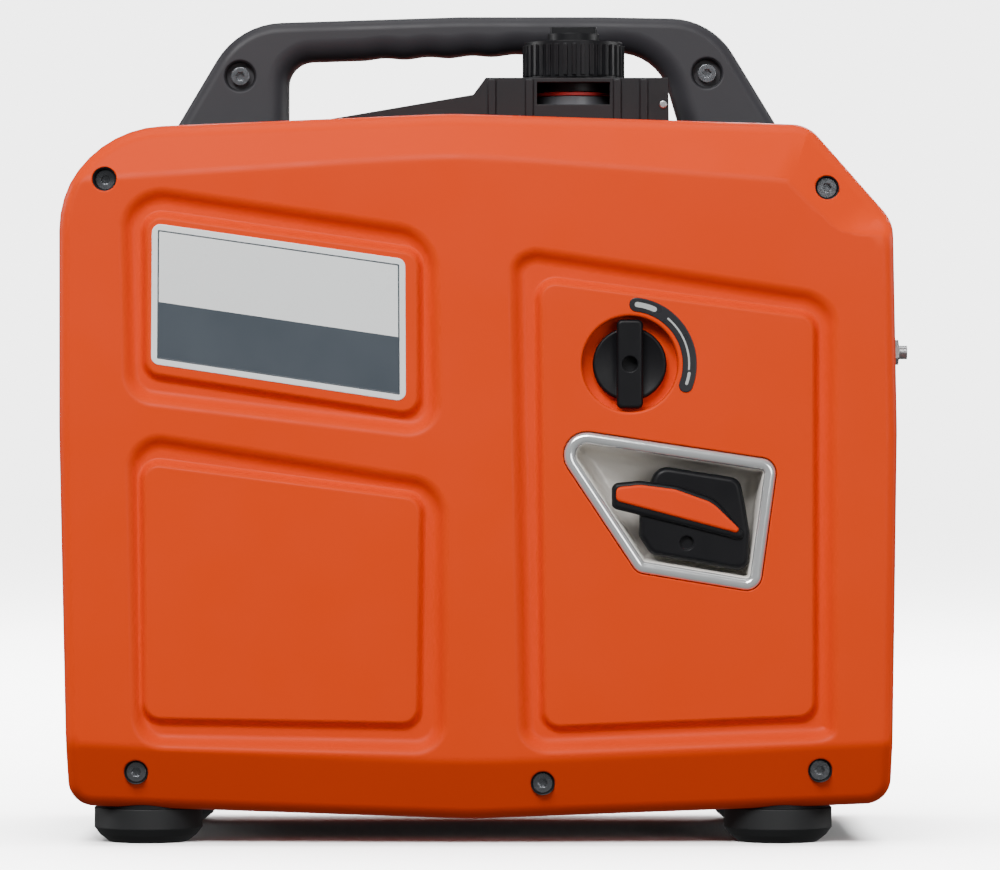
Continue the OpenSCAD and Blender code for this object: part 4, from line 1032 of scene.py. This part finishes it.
build_covers()
build_door()
build_handle()
handle_pocket_shade_liners()
build_name_plate()
build_dial_scale()
build_dial()
build_bezel()
build_pan()
build_grip()
build_rope()
build_collar()

# ---- stage, light, camera ------------------------------------------------------------------------

CAMERA_BACK = 3.0            # metres from the face's plane
CAMERA_LENS = 197.2          # millimetres
SENSOR_W = 36                # millimetres
CAMERA_X, CAMERA_Z = 0.007, 0.2257


def stage_material(name, colour):
    """Pale paper that glows softly away from the object, so the surroundings stay even."""
    n = Nodes(name)
    n.link(n.mix(n.noise(3, 2), tuple(c * 0.99 for c in colour), colour), n.shader.inputs["Base Color"])
    n.shader.inputs["Roughness"].default_value = 0.8
    n.shader.inputs["Specular IOR Level"].default_value = 0.1
    away = n.add("ShaderNodeVectorMath", operation="LENGTH")
    n.link(n.place, away.inputs[0])
    n.shader.inputs["Emission Color"].default_value = (1, 1, 1, 1)
    n.link(n.ramp(away.outputs["Value"], 0.5, 3.0, 0.0, 4.2), n.shader.inputs["Emission Strength"])
    return n.material


def build_stage():
    """A round paper sweep that does not light the object, and lamps for the paper alone."""
    floor_r, bend, height, sides = 16.0, 1.5, 12.0, 96
    profile = [(0.02, 0.0), (1.0, 0.0), (4.0, 0.0), (floor_r, 0.0)]
    profile += [(floor_r + bend * math.sin(a), bend - bend * math.cos(a))
                for a in np.linspace(0.1, math.pi / 2, 12)]
    profile.append((floor_r + bend, height))
    turn = np.linspace(0, 2 * math.pi, sides, endpoint=False)
    verts = [(r * math.cos(t), r * math.sin(t), z) for r, z in profile for t in turn]
    faces = [(i * sides + j, (i + 1) * sides + j, (i + 1) * sides + (j + 1) % sides,
              i * sides + (j + 1) % sides) for i in range(len(profile) - 1) for j in range(sides)]
    faces.append(tuple(range(sides)))
    floor = make_object("studio_floor", verts, faces)
    floor.data.materials.append(stage_material("studio_paper", (0.9, 0.9, 0.9)))
    floor.visible_diffuse = False
    floor.visible_glossy = False
    paper = bpy.data.collections.new("paper")
    paper.objects.link(floor)
    for name, place, aim, size, power in (
            ("paper_top", (0.0, 0.6, 2.6), (0, 0.9, 0), (3.5, 3.0), 620),
            ("paper_front", (0.0, -2.2, 2.2), (0, -0.2, 0), (3.0, 1.5), 260)):
        lamp = add_light(name, place, aim, size, power)
        lamp.light_linking.receiver_collection = paper


def add_light(name, place, aim, size, power):
    """A white rectangular lamp at place, turned towards aim."""
    data = bpy.data.lights.new(name, "AREA")
    data.shape = "RECTANGLE"
    data.size, data.size_y = size
    data.energy = power
    obj = bpy.data.objects.new(name, data)
    obj.location = place
    obj.rotation_euler = (Vector(aim) - Vector(place)).to_track_quat("-Z", "Y").to_euler()
    bpy.context.scene.collection.objects.link(obj)
    return obj


def build_lights():
    """Soft key, fill and top lamps, lamps for the back and both ends, and a dim even world."""
    add_light("key", (-0.5, -2.0, 1.75), (0, -0.1, 0.22), (1.5, 0.9), 71)
    add_light("fill", (1.2, -2.4, 0.6), (0, 0, 0.2), (1.0, 0.9), 13)
    add_light("top", (0.0, 0.1, 2.2), (0, 0, 0.2), (1.6, 1.2), 14)
    add_light("back", (0.4, 2.2, 1.3), (0, 0, 0.22), (1.5, 0.9), 42)
    add_light("right_end", (2.4, 0.5, 0.9), (0.1, 0, 0.2), (0.9, 0.9), 26)
    add_light("left_end", (-2.4, 0.5, 0.9), (-0.1, 0, 0.2), (0.9, 0.9), 26)
    world = bpy.data.worlds.new("studio")
    world.use_nodes = True
    world.node_tree.nodes["Background"].inputs["Color"].default_value = (1, 1, 1, 1)
    world.node_tree.nodes["Background"].inputs["Strength"].default_value = 0.16
    bpy.context.scene.world = world


def build_camera():
    """Level, square to the starter side, at the height of the body's middle."""
    data = bpy.data.cameras.new("camera")
    data.sensor_width = SENSOR_W
    data.lens = CAMERA_LENS
    data.clip_end = 50
    camera = bpy.data.objects.new("camera", data)
    camera.location = (CAMERA_X, FACE_Y * MM - CAMERA_BACK, CAMERA_Z)
    camera.rotation_euler = (math.pi / 2, 0, 0)
    bpy.context.scene.collection.objects.link(camera)
    bpy.context.scene.camera = camera


build_stage()
build_lights()
build_camera()
